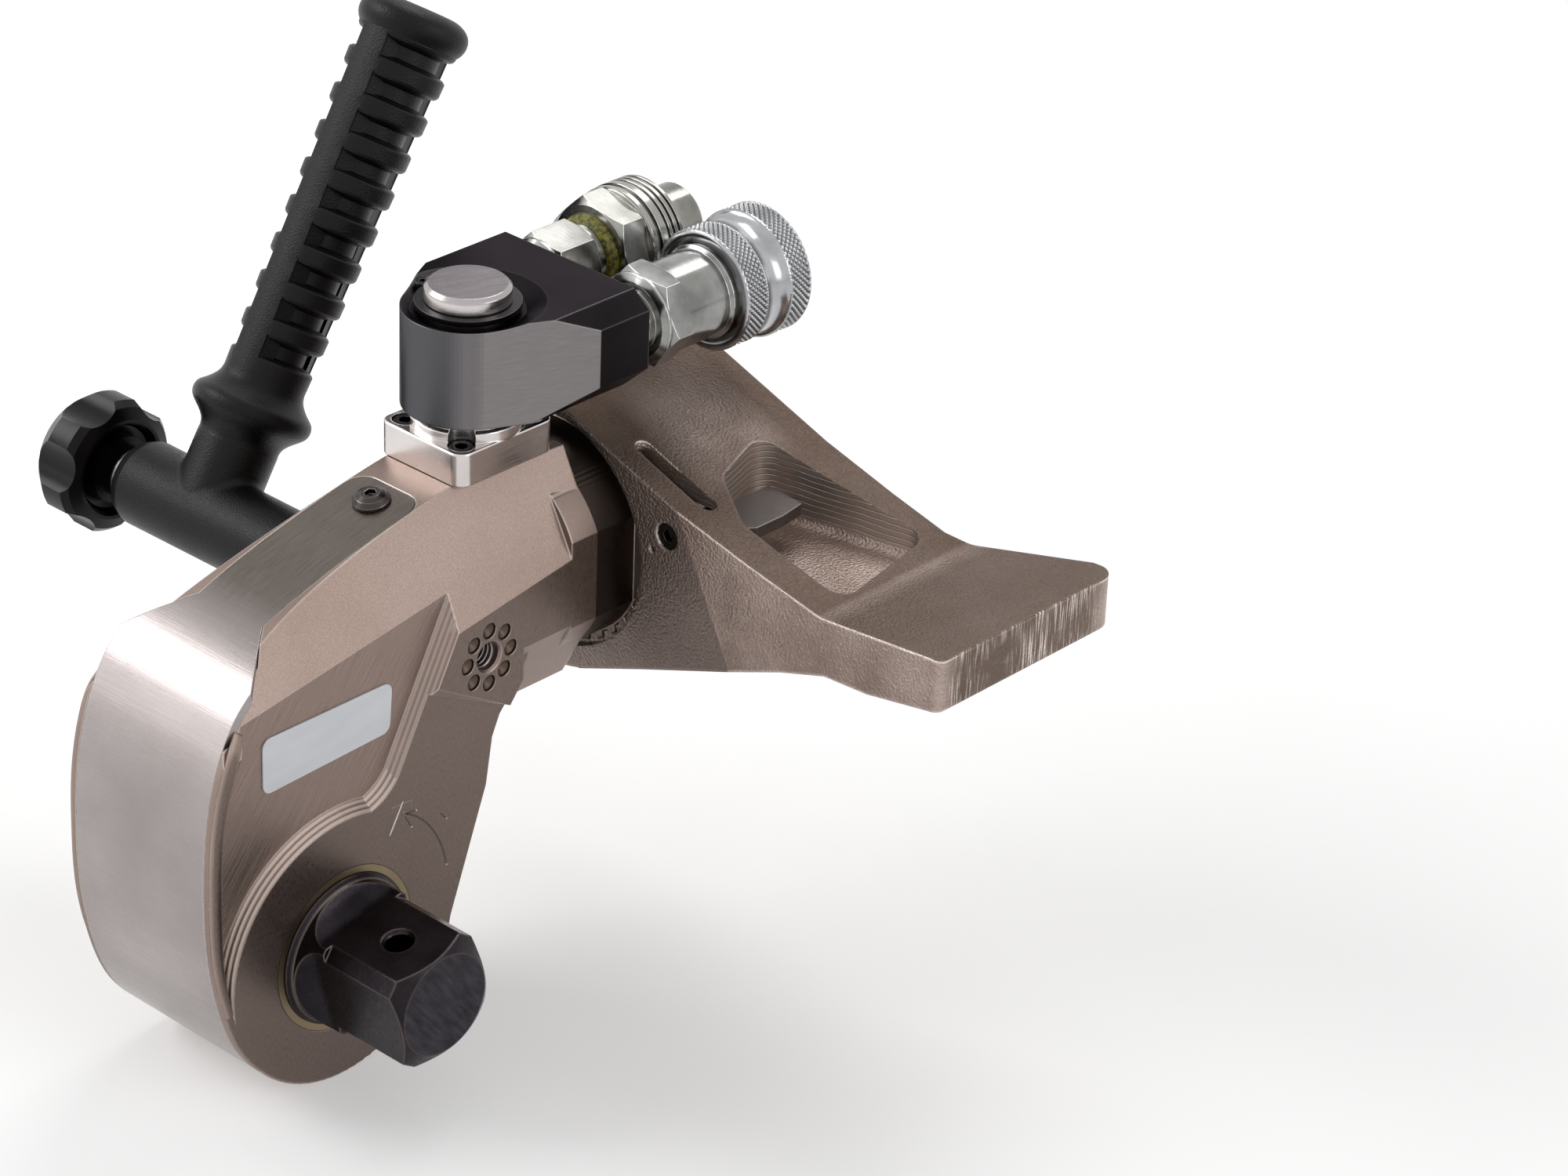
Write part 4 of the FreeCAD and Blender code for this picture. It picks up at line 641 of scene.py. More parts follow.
@dataclass(frozen=True)
class PostFinish(MetalFinish):
    """Machined post: a turned cap with a centre mark, above a brushed flange."""

    cap_z: float = 136.0 * MM
    post: Point = (59 * MM, 23 * MM, 0.0)
    cap_dark: Colour = (0.118, 0.104, 0.108)
    cap_light: Colour = (0.20, 0.181, 0.188)

    def details(self, g: Graph, colour: Socket, rough: Socket, normal: Socket) -> Look:
        """Add lathe rings and a duller tone on the cap.

        Args:
            g: the material's node tree.
            colour, rough, normal: the look so far.

        Returns:
            The look with the marks.
        """
        rim = g.spread(g.axis("Z"), self.cap_z, self.cap_z + 0.5 * MM)
        cap = g.product(rim, g.spread(g.facing("Z"), 0.9, 0.99))
        rings = g.rings("Z", self.post, 2400.0)
        stroke = g.noise((90.0, 2600.0, 1.0), 3.0, (0.0, 0.0, 25.0))
        tone = g.blend(g.spread(g.maths("ADD", rings, stroke), 0.75, 1.25), self.cap_dark, self.cap_light)
        colour = g.blend(g.product(rim, 0.55), colour, self.cap_light)
        colour = g.blend(g.product(cap, 0.9), colour, tone)
        rough = g.blend(cap, rough, g.spread(rings, 0.3, 0.7, 0.38, 0.48))
        return colour, rough, g.bump(g.product(rings, cap), 0.00003, normal)


@dataclass(frozen=True)
class DriveFinish(MetalFinish):
    """Blued square drive whose end face is coloured paler than its sides, as painted light."""

    end: Colour = (0.058, 0.053, 0.066)

    def details(self, g: Graph, colour: Socket, rough: Socket, normal: Socket) -> Look:
        """Paint light on the end face, in short crossing strokes.

        Args:
            g: the material's node tree.
            colour, rough, normal: the look so far.

        Returns:
            The look with the marks.
        """
        face = g.product(g.spread(g.facing("Y"), -0.9, -0.99), g.spread(g.axis("Y"), -20 * MM, -24 * MM))
        strokes = g.noise((700.0, 1.0, 160.0), 4.0, (0.0, 40.0, 0.0))
        # Painted light: the end face is coloured paler than the sides.
        colour = g.blend(g.product(face, g.spread(strokes, 0.25, 0.7)), colour, self.end)
        return colour, rough, g.bump(g.product(strokes, face), 0.00008, normal)


@dataclass(frozen=True)
class KnurlFinish(MetalFinish):
    """Zinc plate with painted shade in the knurl's grooves, told by the piece's own groove attribute."""

    groove_shade: Colour = (0.045, 0.045, 0.05)

    def details(self, g: Graph, colour: Socket, rough: Socket, normal: Socket) -> Look:
        """Paint shade into the grooves.

        Args:
            g: the material's node tree.
            colour, rough, normal: the look so far.

        Returns:
            The look with the marks.
        """
        depth = g.node("ShaderNodeAttribute", attribute_name="groove").outputs["Fac"]
        # Painted shade: the grooves are darkened by their depth.
        colour = g.blend(g.spread(depth, 0.25, 0.95), colour, self.groove_shade)
        return colour, rough, normal


@dataclass(frozen=True)
class MouldedFinish:
    """Moulded plastic or rubber with a fine spark-eroded texture and rubbed high spots."""

    name: str
    dark: Colour
    light: Colour
    rough: Span
    texture: float = 2600.0
    depth: float = 0.00003
    gloss: float = 0.5

    def make(self) -> bpy.types.Material:
        """Build the material: mottled colour, pebbled bump, and lighter dust in patches.

        Returns:
            The material.
        """
        g = Graph(self.name)
        patches = g.spread(g.noise((35.0,) * 3, 4.0), 0.35, 0.65)
        pebble = g.cells(self.texture)
        fine = g.noise((self.texture * 1.6,) * 3, 2.0)
        height = g.maths("ADD", pebble, g.product(fine, 0.6))
        colour = g.blend(g.product(patches, g.spread(fine, 0.35, 0.7)), self.dark, self.light)
        rough = g.spread(g.maths("ADD", patches, fine), 0.4, 1.6, self.rough[0], self.rough[1])
        return g.finish(colour, rough, g.bump(height, self.depth), Specular_IOR_Level=self.gloss)


@dataclass(frozen=True)
class SealantFinish:
    """Cured thread sealant: thick yellow-green paste with grey swirls."""

    name: str = "thread_sealant_paste"
    bright: Colour = (0.27, 0.255, 0.025)
    dull: Colour = (0.06, 0.056, 0.016)

    def make(self) -> bpy.types.Material:
        """Build the material: swirled colour over a lumpy surface.

        Returns:
            The material.
        """
        g = Graph(self.name)
        swirl = g.spread(g.noise((1100.0,) * 3, 5.0), 0.38, 0.62)
        return g.finish(g.blend(swirl, self.dull, self.bright), g.spread(swirl, 0.0, 1.0, 0.5, 0.3),
                        g.bump(g.noise((900.0,) * 3, 3.0), 0.0003))


@dataclass(frozen=True)
class LabelFinish:
    """Bare silver-white film of an unprinted label plate."""

    name: str = "bare_label_film"
    tone: Colour = (0.74, 0.755, 0.79)
    shade: Colour = (0.69, 0.705, 0.74)

    def make(self) -> bpy.types.Material:
        """Build the material: faint waves in a satin film.

        Returns:
            The material.
        """
        g = Graph(self.name)
        waves = g.noise((60.0, 60.0, 240.0), 3.0, (0.0, 10.0, 0.0))
        tone = g.blend(g.spread(waves, 0.35, 0.65), self.shade, self.tone)
        return g.finish(tone, g.spread(waves, 0.3, 0.7, 0.34, 0.44), g.bump(waves, 0.00001), Metallic=0.3)


Finish = MetalFinish | MouldedFinish | SealantFinish | LabelFinish


@cache
def material_of(finish: Finish) -> bpy.types.Material:
    """Return a finish's material, made when it is first asked for."""
    return finish.make()


PLATE = HousingFinish("nickel_plate", (0.232, 0.170, 0.145), (0.312, 0.242, 0.210), (0.66, 0.58, 0.53),
                      (0.34, 0.48), Grain.BLASTED, 0.00004, 0.0006, 30.0, metal=0.92)
CAST = ArmFinish("cast_nickel_plate", (0.315, 0.238, 0.203), (0.565, 0.452, 0.400), (0.98, 0.87, 0.80),
                 (0.26, 0.44), Grain.CAST, 0.00048, 0.0012, 55.0, metal=0.9)
STAINLESS = ShroudFinish("brushed_stainless", (0.315, 0.280, 0.272), (0.43, 0.392, 0.385), (0.66, 0.64, 0.62),
                         (0.22, 0.34), Grain.BRUSHED_Y, 0.00002, 0.0003, 25.0)
BRIGHT = MetalFinish("machined_steel", (0.24, 0.218, 0.212), (0.33, 0.302, 0.295), (0.72, 0.70, 0.69),
                     (0.18, 0.30), Grain.BRUSHED_X, 0.000012, 0.0004, 60.0)
POST = PostFinish("machined_post", (0.60, 0.56, 0.545), (0.78, 0.74, 0.725), (0.94, 0.92, 0.90), (0.16, 0.28),
                  Grain.BRUSHED_X, 0.000012, 0.0004, 60.0)
CAP = MetalFinish("turned_cap", (0.24, 0.218, 0.212), (0.33, 0.302, 0.295), (0.72, 0.70, 0.69), (0.2, 0.34),
                  Grain.TURNED, 0.00002, 0.0004, 60.0, "Y")
HARDENED = MetalFinish("hardened_steel", (0.20, 0.195, 0.19), (0.30, 0.29, 0.28), (0.55, 0.54, 0.53),
                       (0.25, 0.4), Grain.TURNED, 0.00001, 0.0003)
OXIDE = BlockFinish("black_oxide", (0.014, 0.012, 0.0135), (0.023, 0.020, 0.022), (0.12, 0.12, 0.12),
                    (0.28, 0.40), Grain.BLASTED, 0.000012, 0.0005, rim_tint=(0.62, 0.60, 0.62))
DRIVE = DriveFinish("blued_square", (0.014, 0.012, 0.015), (0.034, 0.029, 0.033), (0.15, 0.12, 0.105),
                    (0.24, 0.40), Grain.PLATED, 0.00004, 0.0007, 90.0)
FASTENER = MetalFinish("black_fastener", (0.015, 0.014, 0.015), (0.032, 0.030, 0.031), (0.12, 0.12, 0.12),
                       (0.26, 0.4), Grain.TURNED, 0.00001, 0.0002)
BUTTON_HEAD = MetalFinish("browned_screw", (0.05, 0.042, 0.04), (0.09, 0.078, 0.073), (0.40, 0.37, 0.35),
                          (0.24, 0.38), Grain.PLATED, 0.00001, 0.0003)
ZINC = MetalFinish("zinc_plate", (0.19, 0.19, 0.182), (0.46, 0.46, 0.445), (0.80, 0.80, 0.78), (0.10, 0.22),
                   Grain.TURNED, 0.00001, 0.0003, 90.0, "X", (0.0, 7 * MM, 122.2 * MM))
KNURL = KnurlFinish("knurled_zinc", (0.34, 0.345, 0.355), (0.54, 0.545, 0.56), (0.85, 0.85, 0.86),
                    (0.14, 0.26), Grain.TURNED, 0.00002, 0.0002, 110.0, "X", (0.0, 7 * MM, 122.2 * MM))
ZINC_REAR = MetalFinish("zinc_plate_rear", (0.20, 0.197, 0.178), (0.46, 0.455, 0.43), (0.76, 0.75, 0.72),
                        (0.10, 0.24), Grain.TURNED, 0.00001, 0.0003, 90.0, "X", (0.0, 39 * MM, 122.2 * MM))
BRONZE = MetalFinish("bearing_bronze", (0.22, 0.17, 0.105), (0.31, 0.245, 0.155), (0.5, 0.42, 0.3),
                     (0.28, 0.4), Grain.TURNED, 0.00001, 0.0002)
LATCH = MetalFinish("dull_latch_steel", (0.085, 0.072, 0.066), (0.135, 0.117, 0.11), (0.34, 0.31, 0.29),
                    (0.38, 0.5), Grain.PLATED, 0.00002, 0.0004)
WIRE = MetalFinish("spring_wire", (0.30, 0.30, 0.31), (0.42, 0.42, 0.43), (0.6, 0.6, 0.6), (0.2, 0.3),
                   Grain.PLATED)
SEAL = MouldedFinish("seal_rubber", (0.008, 0.008, 0.008), (0.02, 0.02, 0.02), (0.45, 0.6))
GRIP = MouldedFinish("moulded_grip", (0.0018, 0.0016, 0.0022), (0.0050, 0.0046, 0.0058), (0.30, 0.44),
                     2600.0, 0.00006, 0.21)
KNOB = MouldedFinish("knob_plastic", (0.0015, 0.0015, 0.002), (0.004, 0.0038, 0.0045), (0.14, 0.24), 5200.0,
                     0.00001, 0.16)
MARK_BRIGHT = LabelFinish("bright_line", (0.86, 0.83, 0.80), (0.76, 0.72, 0.69))
MARK_DARK = MetalFinish("cut_line", (0.085, 0.068, 0.062), (0.115, 0.095, 0.088), (0.12, 0.10, 0.09),
                        (0.4, 0.5), Grain.PLATED)


def mesh_from_grid(name: str, points: np.ndarray, closed: bool = True) -> Piece:
    """Make a surface from a grid of points, with its columns joined round.

    Args:
        name: the piece's name.
        points: rows by columns by 3 grid, in metres; a row goes once round.
        closed: whether the first and last rows meet, as on a ring.

    Returns:
        The new object, at the origin, with smooth faces that point outwards.
    """
    rows, columns = points.shape[:2]
    index = np.arange(rows * columns).reshape(rows, columns)
    if closed:
        index = np.vstack([index, index[:1]])
    wrapped = np.hstack([index, index[:, :1]])
    faces = np.stack([wrapped[:-1, :-1], wrapped[1:, :-1], wrapped[1:, 1:], wrapped[:-1, 1:]], -1)
    faces = faces.reshape(-1, 4)
    mesh = bpy.data.meshes.new(name)
    mesh.from_pydata(points.reshape(-1, 3), [], faces)
    mesh.update()
    mesh.polygons.foreach_set("use_smooth", np.ones(len(faces), dtype=bool))
    made = bpy.data.objects.new(name, mesh)
    bpy.context.scene.collection.objects.link(made)
    return made


def clothe(piece: Piece, material: bpy.types.Material) -> None:
    """Give a piece one material on all its slots.

    Args:
        piece: the piece.
        material: its material.
    """
    if not piece.data.materials:
        piece.data.materials.append(material)
    for slot in piece.material_slots:
        slot.material = material


def resampled(outline: Sequence[Span], step: float, fine: Sequence[int]) -> np.ndarray:
    """Return points along a closed outline, with the fine runs cut into equal steps.

    Args:
        outline: the outline's corners.
        step: the longest step on a fine run.
        fine: numbers of the runs that are cut; the others stay whole.

    Returns:
        The points, in order round the outline.
    """
    corners = np.array(outline, dtype=float)
    following = np.roll(corners, -1, axis=0)
    counts = np.ones(len(corners), dtype=int)
    lengths = np.linalg.norm(following - corners, axis=1)
    counts[list(fine)] = np.ceil(lengths[list(fine)] / step)
    runs = [a + (b - a) * (np.arange(n) / n)[:, None] for a, b, n in zip(corners, following, counts)]
    return np.vstack(runs)


FLAT_BAR = np.array([(1.0, -0.012 * MM), (-1.0, -0.012 * MM), (-1.0, 0.06 * MM), (1.0, 0.06 * MM)])


def swept_bar(name: str, centres: np.ndarray, halves: np.ndarray, profile: np.ndarray = FLAT_BAR,
              smooth: bool = False) -> Piece:
    """Make a bar that follows a line on a face square to Y, closed at both ends.

    Each section is the profile p: a point lies p0 half widths across the line and p1 behind it, and the
    ends shrink to a point.

    Args:
        name: the piece's name.
        centres: points of the line, in metres.
        halves: half the width at each point.
        profile: the section's points, in half widths across and metres along Y.
        smooth: whether it is shaded as one curved face.

    Returns:
        The new object.
    """
    ahead = np.gradient(centres, axis=0)
    across = np.stack([-ahead[:, 2], 0.0 * ahead[:, 0], ahead[:, 0]], 1)
    across = across / np.linalg.norm(across, axis=1)[:, None] * halves[:, None]
    behind = np.array([0.0, 1.0, 0.0])
    grid = centres[:, None] + across[:, None] * profile[None, :, :1] + behind * profile[None, :, 1:]
    caps = [np.repeat(grid[end].mean(0)[None, None], len(profile), 1) for end in (0, -1)]
    made = mesh_from_grid(name, np.vstack([caps[0], grid, caps[1]]), closed=False)
    made.data.polygons.foreach_set("use_smooth", np.full(len(made.data.polygons), smooth))
    return made


def on_nose_face(points: np.ndarray) -> np.ndarray:
    """Return points of the nose face in metres, from X and Z in millimetres."""
    return np.insert(points, 1, 0.0, axis=1) * MM


def triangle_wave(value: np.ndarray) -> np.ndarray:
    """Return a wave that climbs from 0 to 1 and back over each whole number."""
    return 1.0 - np.abs(2.0 * (value - np.floor(value)) - 1.0)


@dataclass
class SubAssembly:
    """Nodes that share a place on the wrench, with the finish of each."""

    name: str
    finishes: dict[str, Finish] = field(default_factory=dict)

    def dress(self) -> None:
        """Put each node's finish on its slots."""
        for node, finish in self.finishes.items():
            clothe(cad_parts[node], material_of(finish))
            LOG.info("%s: %s in %s", self.name, node, finish.name)

    def build(self) -> None:
        """Make the sub-assembly's own pieces; most have none."""


@dataclass
class LabelledHead(SubAssembly):
    """Head with its bare plate, turning mark and arrow, rounded rims, filled corners and anchor thread.

    Outlines, widths and the rim are in millimetres, and lengths given times MM in metres.
    """

    panel_y: float = 3.0 * MM
    thickness: float = 0.35 * MM
    corner: float = 2.3 * MM
    plate: tuple[Span, ...] = ((-21.4, 47.2), (16.2, 48.4), (16.7, 60.9), (-21.4, 60.9))
    mark: tuple[Span, ...] = ((13.5, 23.6), (17.6, 30.9))
    arrow: tuple[Span, ...] = ((31.1, 8.7), (29.1, 15.2), (26.2, 20.6), (22.3, 24.7), (18.4, 27.3))
    dot: tuple[Span, ...] = ((-0.2, 0.25), (0.0, 0.0), (0.2, -0.25))
    line_half: float = 0.22
    stroke_half: float = 0.17
    strokes: tuple[tuple[Span, Span], ...] = (
        ((18.4, 27.3), (21.6, 26.9)), ((18.2, 26.6), (20.2, 23.2)), ((29.0, 23.1), (31.0, 20.9)))
    corner_fill: tuple[Span, ...] = ((14.0, 29.5), (20.4, 29.1))
    corner_half: float = 1.15
    width: float = 46.0
    rim: tuple[tuple[float, float, float, float], ...] = (
        (-34.2, 0.0, -3.5, 0.9), (-36.2, 0.0, 4.0, 1.2), (-37.5, 0.0, 12.0, 1.4), (-37.8, 0.0, 20.0, 1.7),
        (-37.8, 0.0, 28.0, 1.7), (-37.6, 0.0, 36.0, 1.8), (-37.0, 0.0, 44.0, 1.8), (-35.4, 0.0, 52.0, 1.9),
        (-32.7, 0.0, 60.0, 2.0), (-30.4, 0.7, 64.0, 1.8), (-28.4, 2.2, 67.0, 1.2))
    thread_r: float = 3.42 * MM
    thread_pitch: float = 1.25 * MM
    thread_turns: float = 7.0
    anchor: Point = (42.6 * MM, -1.0 * MM, 58.7 * MM)

    def build(self) -> None:
        """Lay the plate, mark the nose, round the rims, fill the corners and cut the thread."""
        self.lay_plate()
        self.engrave()
        self.round_rims()
        self.fill_corners()
        self.cut_thread()

    def keep(self, piece: Piece, finish: Finish, slot: str = "nickel_plated_steel") -> None:
        """Dress a piece and fix it to the housing.

        Args:
            piece: the piece.
            finish: its finish.
            slot: the name of its material in the record; not used.
        """
        clothe(piece, material_of(finish))
        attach(piece, "wrench_body")
        LOG.info("%s: %s", self.name, piece.name)

    def engrave(self) -> None:
        """Mark the nose: a bright line, and a shallow curved arrow whose strokes end in bright dots."""
        given = np.array(self.arrow)
        steps, fine = np.arange(len(given)), np.linspace(0.0, len(given) - 1.0, 25)
        curve = np.stack([np.polyval(np.polyfit(steps, given[:, axis], 3), fine) for axis in (0, 1)], 1)
        bars = [("turning_mark", np.linspace(*np.array(self.mark), 8), self.line_half, MARK_BRIGHT),
                ("turning_arrow", curve, self.line_half, MARK_DARK)]
        for number, (tail, tip) in enumerate(self.strokes):
            points = np.linspace(tail, tip, 6)
            bars.append((f"arrow_stroke_{number + 1}", points, self.stroke_half, MARK_DARK))
        for number, place in enumerate([given[0], *(tip for _, tip in self.strokes)]):
            points = np.array(place) + np.array(self.dot)
            bars.append((f"arrow_dot_{number + 1}", points, self.line_half, MARK_BRIGHT))
        for name, points, half, finish in bars:
            width = half * MM * np.clip(np.sin(np.linspace(0.25, np.pi - 0.25, len(points))) * 2.5, 0.3, 1.0)
            self.keep(swept_bar(name, on_nose_face(points), width), finish)

    def round_rims(self) -> None:
        """Round the rim between the cover and each sunk panel: a low arch along it, |y| as sin."""
        line = np.array(self.rim)
        along = np.concatenate([[0.0], np.cumsum(np.linalg.norm(np.diff(line[:, :3], axis=0), axis=1))])
        fine = np.linspace(0.0, along[-1], 90)
        x, y, z, half = (np.interp(fine, along, line[:, column]) for column in range(4))
        blur = np.ones(9) / 9.0
        x, y, z, half = (np.convolve(np.pad(value, 4, "edge"), blur, "valid") for value in (x, y, z, half))
        turn = np.linspace(0.0, np.pi, 15)
        arch = np.stack([np.cos(turn), -0.5 * MM * np.sin(turn)], 1)
        front = np.vstack([arch, [(-1.0, 0.6 * MM), (1.0, 0.6 * MM)]])
        for side, name in ((1.0, "panel_rim_front"), (-1.0, "panel_rim_rear")):
            level = 0.5 * self.width + side * (y - 0.5 * self.width)
            profile = front * np.array([1.0, side])
            centres = np.stack([x, level, z], 1) * MM
            made = swept_bar(name, centres[::int(side)], half[::int(side)] * MM, profile, smooth=True)
            self.keep(made, PLATE)

    def fill_corners(self) -> None:
        """Fill the small corner that the milling leaves where the leg meets the nose ring."""
        for level, side in ((0.0, 1.0), (self.width, -1.0)):
            line = np.insert(np.array(self.corner_fill), 1, level, axis=1)
            points = np.linspace(line[0], line[1], 6) * MM
            thin = np.array([(1.0, -0.006 * MM), (-1.0, -0.006 * MM), (-1.0, 0.5 * MM), (1.0, 0.5 * MM)])
            made = swept_bar(f"leg_corner_{'front' if side > 0 else 'rear'}", points[::int(side)],
                             np.full(6, self.corner_half * MM), thin * np.array([1.0, side]))
            self.keep(made, PLATE)

    def cut_thread(self) -> None:
        """Wind a thread's ridge inside the hole: a three-sided section carried along a helix."""
        steps = int(self.thread_turns * 40) + 1
        turn = np.linspace(0.0, self.thread_turns, steps)
        grow = np.clip(np.minimum(turn, self.thread_turns - turn) * 4.0, 0.02, 1.0)
        centre_y = self.anchor[1] + 0.6 * self.thread_pitch + turn * self.thread_pitch
        crest = self.thread_r - 0.62 * MM * grow
        half = 0.46 * self.thread_pitch * grow
        rim = np.full_like(turn, self.thread_r)
        section = [(rim, centre_y - half), (crest, centre_y - 0.12 * half), (crest, centre_y + 0.12 * half),
                   (rim, centre_y + half)]
        angle = turn * 2.0 * np.pi
        lines = [np.stack([self.anchor[0] + radius * np.cos(angle), along,
                           self.anchor[2] + radius * np.sin(angle)], 1) for radius, along in section]
        grid = np.stack(lines, 1)
        caps = [np.repeat(grid[end].mean(0)[None, None], 4, 1) for end in (0, -1)]
        ridge = mesh_from_grid("anchor_thread", np.vstack([caps[0], grid, caps[1]]), closed=False)
        self.keep(ridge, BRIGHT)

    def lay_plate(self) -> None:
        """Lay the plate: a rounded four-sided outline given a small thickness."""
        angles = np.linspace(0.0, 0.5 * np.pi, 7)
        corners = np.array(self.plate) * MM
        middle = corners.mean(0)
        points = []
        for number, corner in enumerate(corners):
            inward = np.sign(middle - corner) * self.corner
            turn = angles + np.pi + number * 0.5 * np.pi
            points.append(corner + inward + self.corner * np.stack([np.cos(turn), np.sin(turn)], 1))
        outline = np.vstack(points)
        face = self.panel_y - self.thickness
        back = self.panel_y - 0.02 * MM
        shrunk = middle + (outline - middle) * 0.001
        levels = ((shrunk, face), (outline, face), (outline, back), (shrunk, back))
        rings = [np.insert(ring, 1, level, axis=1)[None] for ring, level in levels]
        plate = mesh_from_grid("label_plate", np.vstack(rings), closed=False)
        plate.data.polygons.foreach_set("use_smooth", np.zeros(len(plate.data.polygons), dtype=bool))
        self.keep(plate, LabelFinish(), "zinc_plate")


@dataclass
class KnurledCollar(SubAssembly):
    """Turning collar of the female coupler, knurled on two bands."""

    start: float = 118.0
    centre: Span = (7.0, 122.2)
    diamonds: int = 60
    columns: int = 600
    pitch: float = 1.5
    depth: float = 0.6
    outline: tuple[Span, ...] = (
        (0.0, 11.45), (0.0, 14.1), (0.5, 14.55), (6.6, 14.55), (7.1, 13.9), (12.6, 13.9), (13.2, 14.9),
        (13.8, 15.45), (19.9, 15.45), (20.6, 14.8), (20.6, 12.4), (18.6, 10.4), (2.2, 10.4), (2.2, 11.45))
    knurled: tuple[int, ...] = (2, 7)

    def build(self) -> None:
        """Turn the outline round, and cut diamonds where two helical grooves cross."""
        section = resampled(self.outline, 0.15, self.knurled)
        along, radius = section[:, :1], section[:, 1:]
        turn = np.arange(self.columns)[None, :] / self.columns
        first = triangle_wave(turn * self.diamonds + along / self.pitch)
        second = triangle_wave(turn * self.diamonds - along / self.pitch)
        height = np.clip(np.minimum(first, second) * 1.5, 0.0, 1.0) - 1.0
        low, high = (np.array([self.outline[run + step][0] for run in self.knurled]) for step in (0, 1))
        inside = np.minimum(along - low, high - along).max(1, keepdims=True)
        on_band = np.clip(inside / 0.25, 0.0, 1.0) * (radius > 14.0)
        groove = -height * on_band
        radius = radius - self.depth * groove
        angle = turn * 2.0 * np.pi
        points = np.stack([self.start + along + 0.0 * angle, self.centre[0] + radius * np.cos(angle),
                           self.centre[1] + radius * np.sin(angle)], -1) * MM
        collar = mesh_from_grid("knurled_collar", points)
        collar.data.attributes.new("groove", "FLOAT", "POINT").data.foreach_set("value", groove.ravel())
        clothe(collar, material_of(KNURL))
        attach(collar, "collar")
        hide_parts("coupler_collar")
        LOG.info("%s: %s", self.name, collar.name)


def sub_assemblies() -> list[SubAssembly]:
    """Return the wrench's sub-assemblies in building order."""
    return [
        LabelledHead("head", {
            "housing": PLATE, "shroud": STAINLESS, "shroud_screw": BUTTON_HEAD, "front_bushing": BRONZE,
            "rear_bushing": BRONZE}),
        SubAssembly("drive", {
            "ratchet_wheel": HARDENED, "square_drive": DRIVE, "drive_retainer": CAP, "release_button": CAP,
            "button_spring": WIRE}),
        SubAssembly("lever", {
            "lever_plate_front": HARDENED, "lever_plate_rear": HARDENED, "crank_pin": BRIGHT,
            "pawl_guide": HARDENED, "guide_pins": BRIGHT, "drive_pawl": HARDENED, "pawl_springs": WIRE}),
        SubAssembly("cylinder", {
            "piston_rod": BRIGHT, "piston": BRIGHT, "piston_seal": SEAL, "piston_nut": BRIGHT,
            "rod_gland": BRIGHT, "gland_seal": SEAL, "end_plug": BRIGHT, "plug_seal": SEAL}),
        SubAssembly("arm", {
            "reaction_arm": CAST, "latch_screw": FASTENER, "latch_lever": LATCH, "latch_spring": WIRE}),
        SubAssembly("swivel", {
            "swivel_post": POST, "flange_screws": FASTENER, "post_circlip": FASTENER, "post_seals": SEAL,
            "swivel_block": OXIDE}),
        KnurledCollar("couplers", {
            "front_adapter": ZINC, "female_coupler": ZINC, "female_poppet": ZINC, "coupler_collar": ZINC,
            "rear_adapter": ZINC_REAR, "male_coupler": ZINC_REAR, "male_poppet": ZINC_REAR,
            "thread_sealant": SealantFinish()}),
        SubAssembly("handle", {
            "handle_grip": GRIP, "handle_sleeve": BRIGHT, "knob_washer": BRIGHT, "clamp_knob": KNOB,
            "clamp_stud": BRIGHT}),
    ]


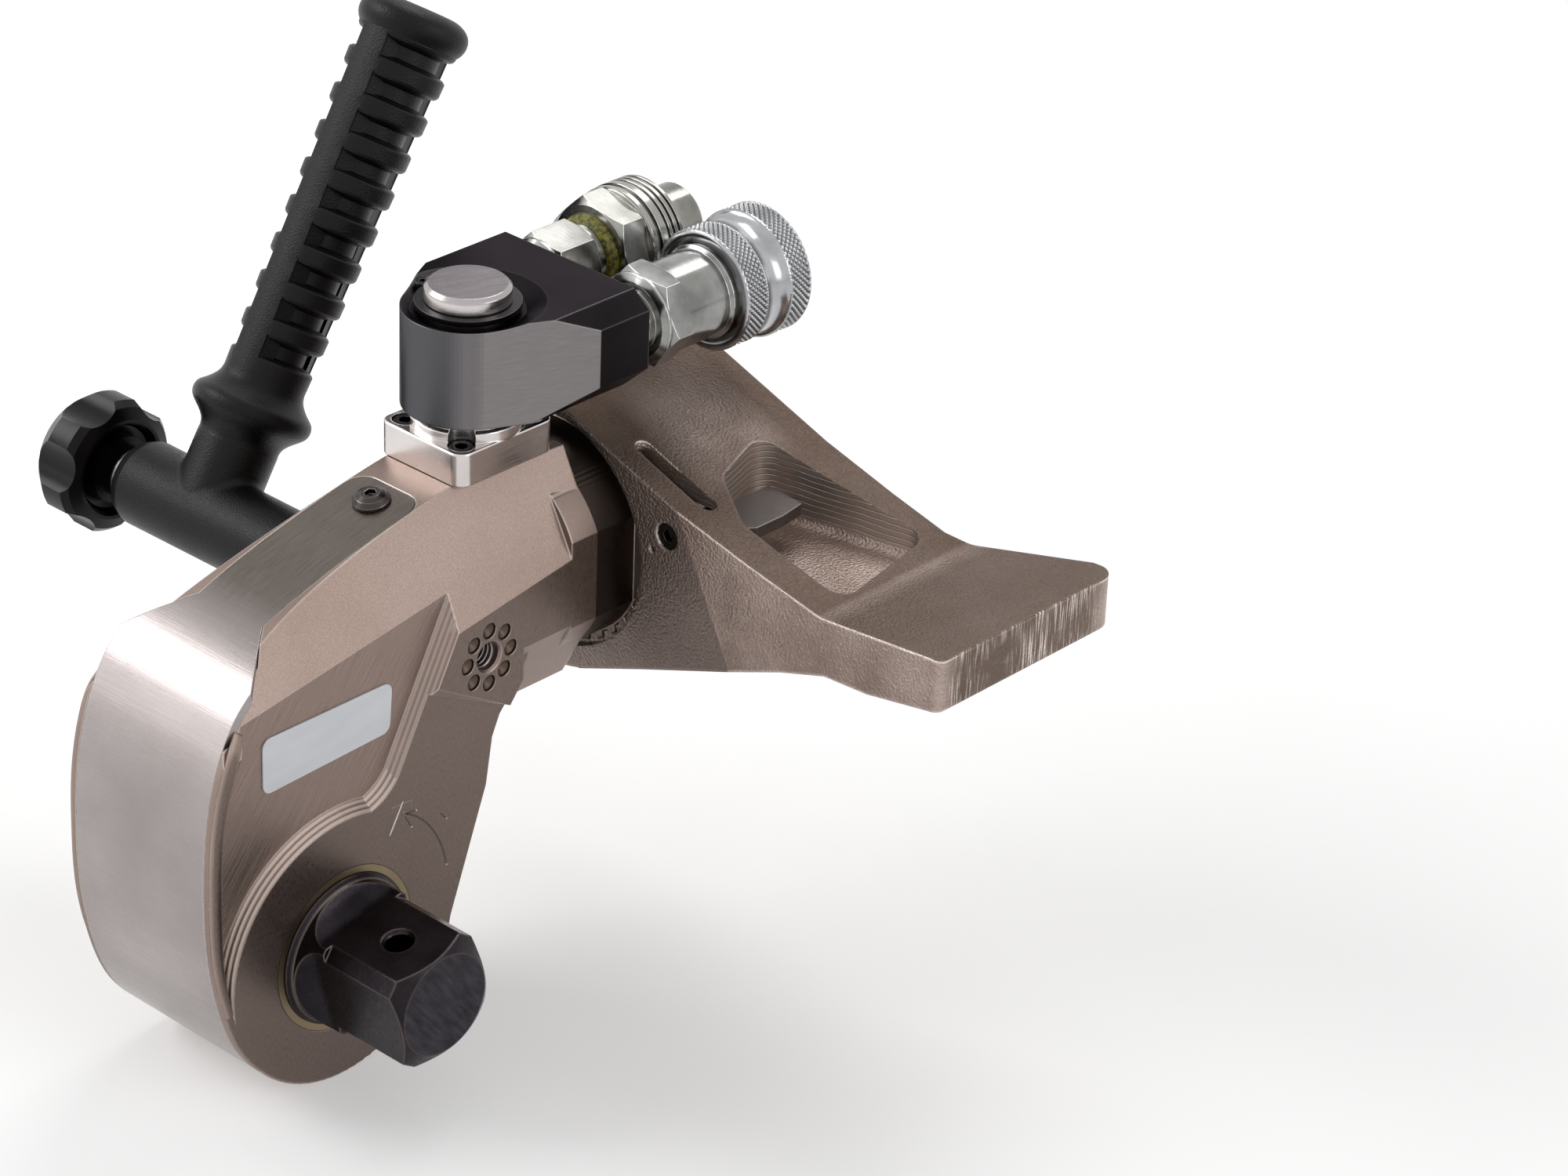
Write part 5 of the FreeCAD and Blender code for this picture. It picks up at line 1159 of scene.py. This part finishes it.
@dataclass
class Studio:
    """Camera, floor, world and lamps of a plain product picture."""

    azimuth: float = 48.47
    elevation: float = 28.48
    roll: float = 2.46
    lens: float = 111.64
    eye: Point = (-0.6227, -0.6777, 0.5929)
    floor_z: float = -33.6 * MM
    floor_glow: float = 0.33
    fill: float = 0.36

    def camera(self) -> None:
        """Place the camera, turned about its own axis by the roll."""
        a, e, r = (math.radians(value) for value in (self.azimuth, self.elevation, self.roll))
        ahead = Vector((math.sin(a) * math.cos(e), math.cos(a) * math.cos(e), -math.sin(e)))
        level = ahead.cross(Vector((0.0, 0.0, 1.0))).normalized()
        above = level.cross(ahead)
        right = level * math.cos(r) + above * math.sin(r)
        up = right.cross(ahead)
        made = bpy.data.objects.new("camera", bpy.data.cameras.new("camera"))
        made.data.lens, made.data.sensor_width = self.lens, 36.0
        made.data.clip_start, made.data.clip_end = 0.05, 20.0
        made.matrix_world = Matrix.Translation(self.eye) @ Matrix((right, up, -ahead)).transposed().to_4x4()
        bpy.context.scene.collection.objects.link(made)
        bpy.context.scene.camera = made

    def floor(self) -> None:
        """Lay a pale floor that shows white to the camera and keeps the wrench's shadow."""
        radius, rows, columns = 4.0, 24, 96
        reach = (np.linspace(0.0, 1.0, rows) ** 2 * radius)[:, None]
        angle = (np.arange(columns) / columns * 2.0 * np.pi)[None, :]
        level = np.full((rows, columns), self.floor_z)
        grid = np.stack([reach * np.cos(angle), reach * np.sin(angle), level], -1)
        floor = mesh_from_grid("floor", grid, closed=False)
        g = Graph("pale_floor")
        dust = g.noise((8.0,) * 3, 3.0)
        tone = g.blend(g.spread(dust, 0.3, 0.7), (0.80, 0.795, 0.79), (0.82, 0.82, 0.82))
        g.finish(tone, 0.9, Specular_IOR_Level=0.1)
        seen = g.node("ShaderNodeLightPath")
        either = g.maths("MAXIMUM", seen.outputs["Is Camera Ray"], seen.outputs["Is Glossy Ray"])
        either = g.maths("MAXIMUM", either, seen.outputs["Is Transmission Ray"])
        g.feed(g.shader.inputs["Emission Strength"], g.product(either, self.floor_glow))
        g.shader.inputs["Emission Color"].default_value = (1.0, 1.0, 1.0, 1.0)
        clothe(floor, g.material)

    def world(self) -> None:
        """Set a plain world that shows white behind the wrench."""
        world = bpy.data.worlds.new("studio")
        world.use_nodes = True
        bpy.context.scene.world = world
        tree = world.node_tree
        shader = tree.nodes["Background"]
        shader.inputs["Color"].default_value = (1.0, 1.0, 1.0, 1.0)
        seen = tree.nodes.new("ShaderNodeLightPath")
        strength = tree.nodes.new("ShaderNodeMapRange")
        strength.inputs["To Min"].default_value = self.fill
        strength.inputs["To Max"].default_value = 1.0
        joined = seen.outputs["Is Camera Ray"]
        for name in ("Is Glossy Ray", "Is Transmission Ray"):
            either = tree.nodes.new("ShaderNodeMath")
            either.operation = "MAXIMUM"
            tree.links.new(joined, either.inputs[0])
            tree.links.new(seen.outputs[name], either.inputs[1])
            joined = either.outputs[0]
        tree.links.new(joined, strength.inputs["Value"])
        tree.links.new(strength.outputs[0], shader.inputs["Strength"])

    def lamp(self, name: str, place: Sequence[float], aim: Sequence[float], size: Span,
             power: float) -> None:
        """Add a rectangular softbox.

        Args:
            name: the lamp's name.
            place: where it stands, in metres.
            aim: the point that it faces.
            size: its width and height.
            power: its power in watts.
        """
        data = bpy.data.lights.new(name, "AREA")
        data.shape, data.energy = "RECTANGLE", power
        data.size, data.size_y = size
        made = bpy.data.objects.new(name, data)
        made.location = place
        made.rotation_euler = (Vector(aim) - Vector(place)).to_track_quat("-Z", "Y").to_euler()
        bpy.context.scene.collection.objects.link(made)

    def build(self) -> None:
        """Set the scene up in Standard view."""
        bpy.context.scene.view_settings.view_transform = "Standard"
        self.camera()
        self.floor()
        self.world()
        middle = (0.05, 0.02, 0.06)
        self.lamp("key_back_left", (-0.75, 1.05, 1.0), middle, (0.95, 0.62), 11.2)
        self.lamp("back_low", (-1.22, 0.96, 0.33), middle, (0.8, 0.5), 1.3)
        self.lamp("overhead", (0.75, 0.30, 1.15), middle, (0.7, 0.6), 5.0)
        self.lamp("front_right", (0.44, -1.37, 0.57), middle, (0.95, 0.75), 4.3)


def main() -> None:
    """Build the wrench's looks, then the studio."""
    logging.basicConfig(level=logging.INFO, format="%(name)s %(message)s")
    for part in sub_assemblies():
        part.dress()
        part.build()
    Studio().build()


if __name__ == "__main__":
    main()
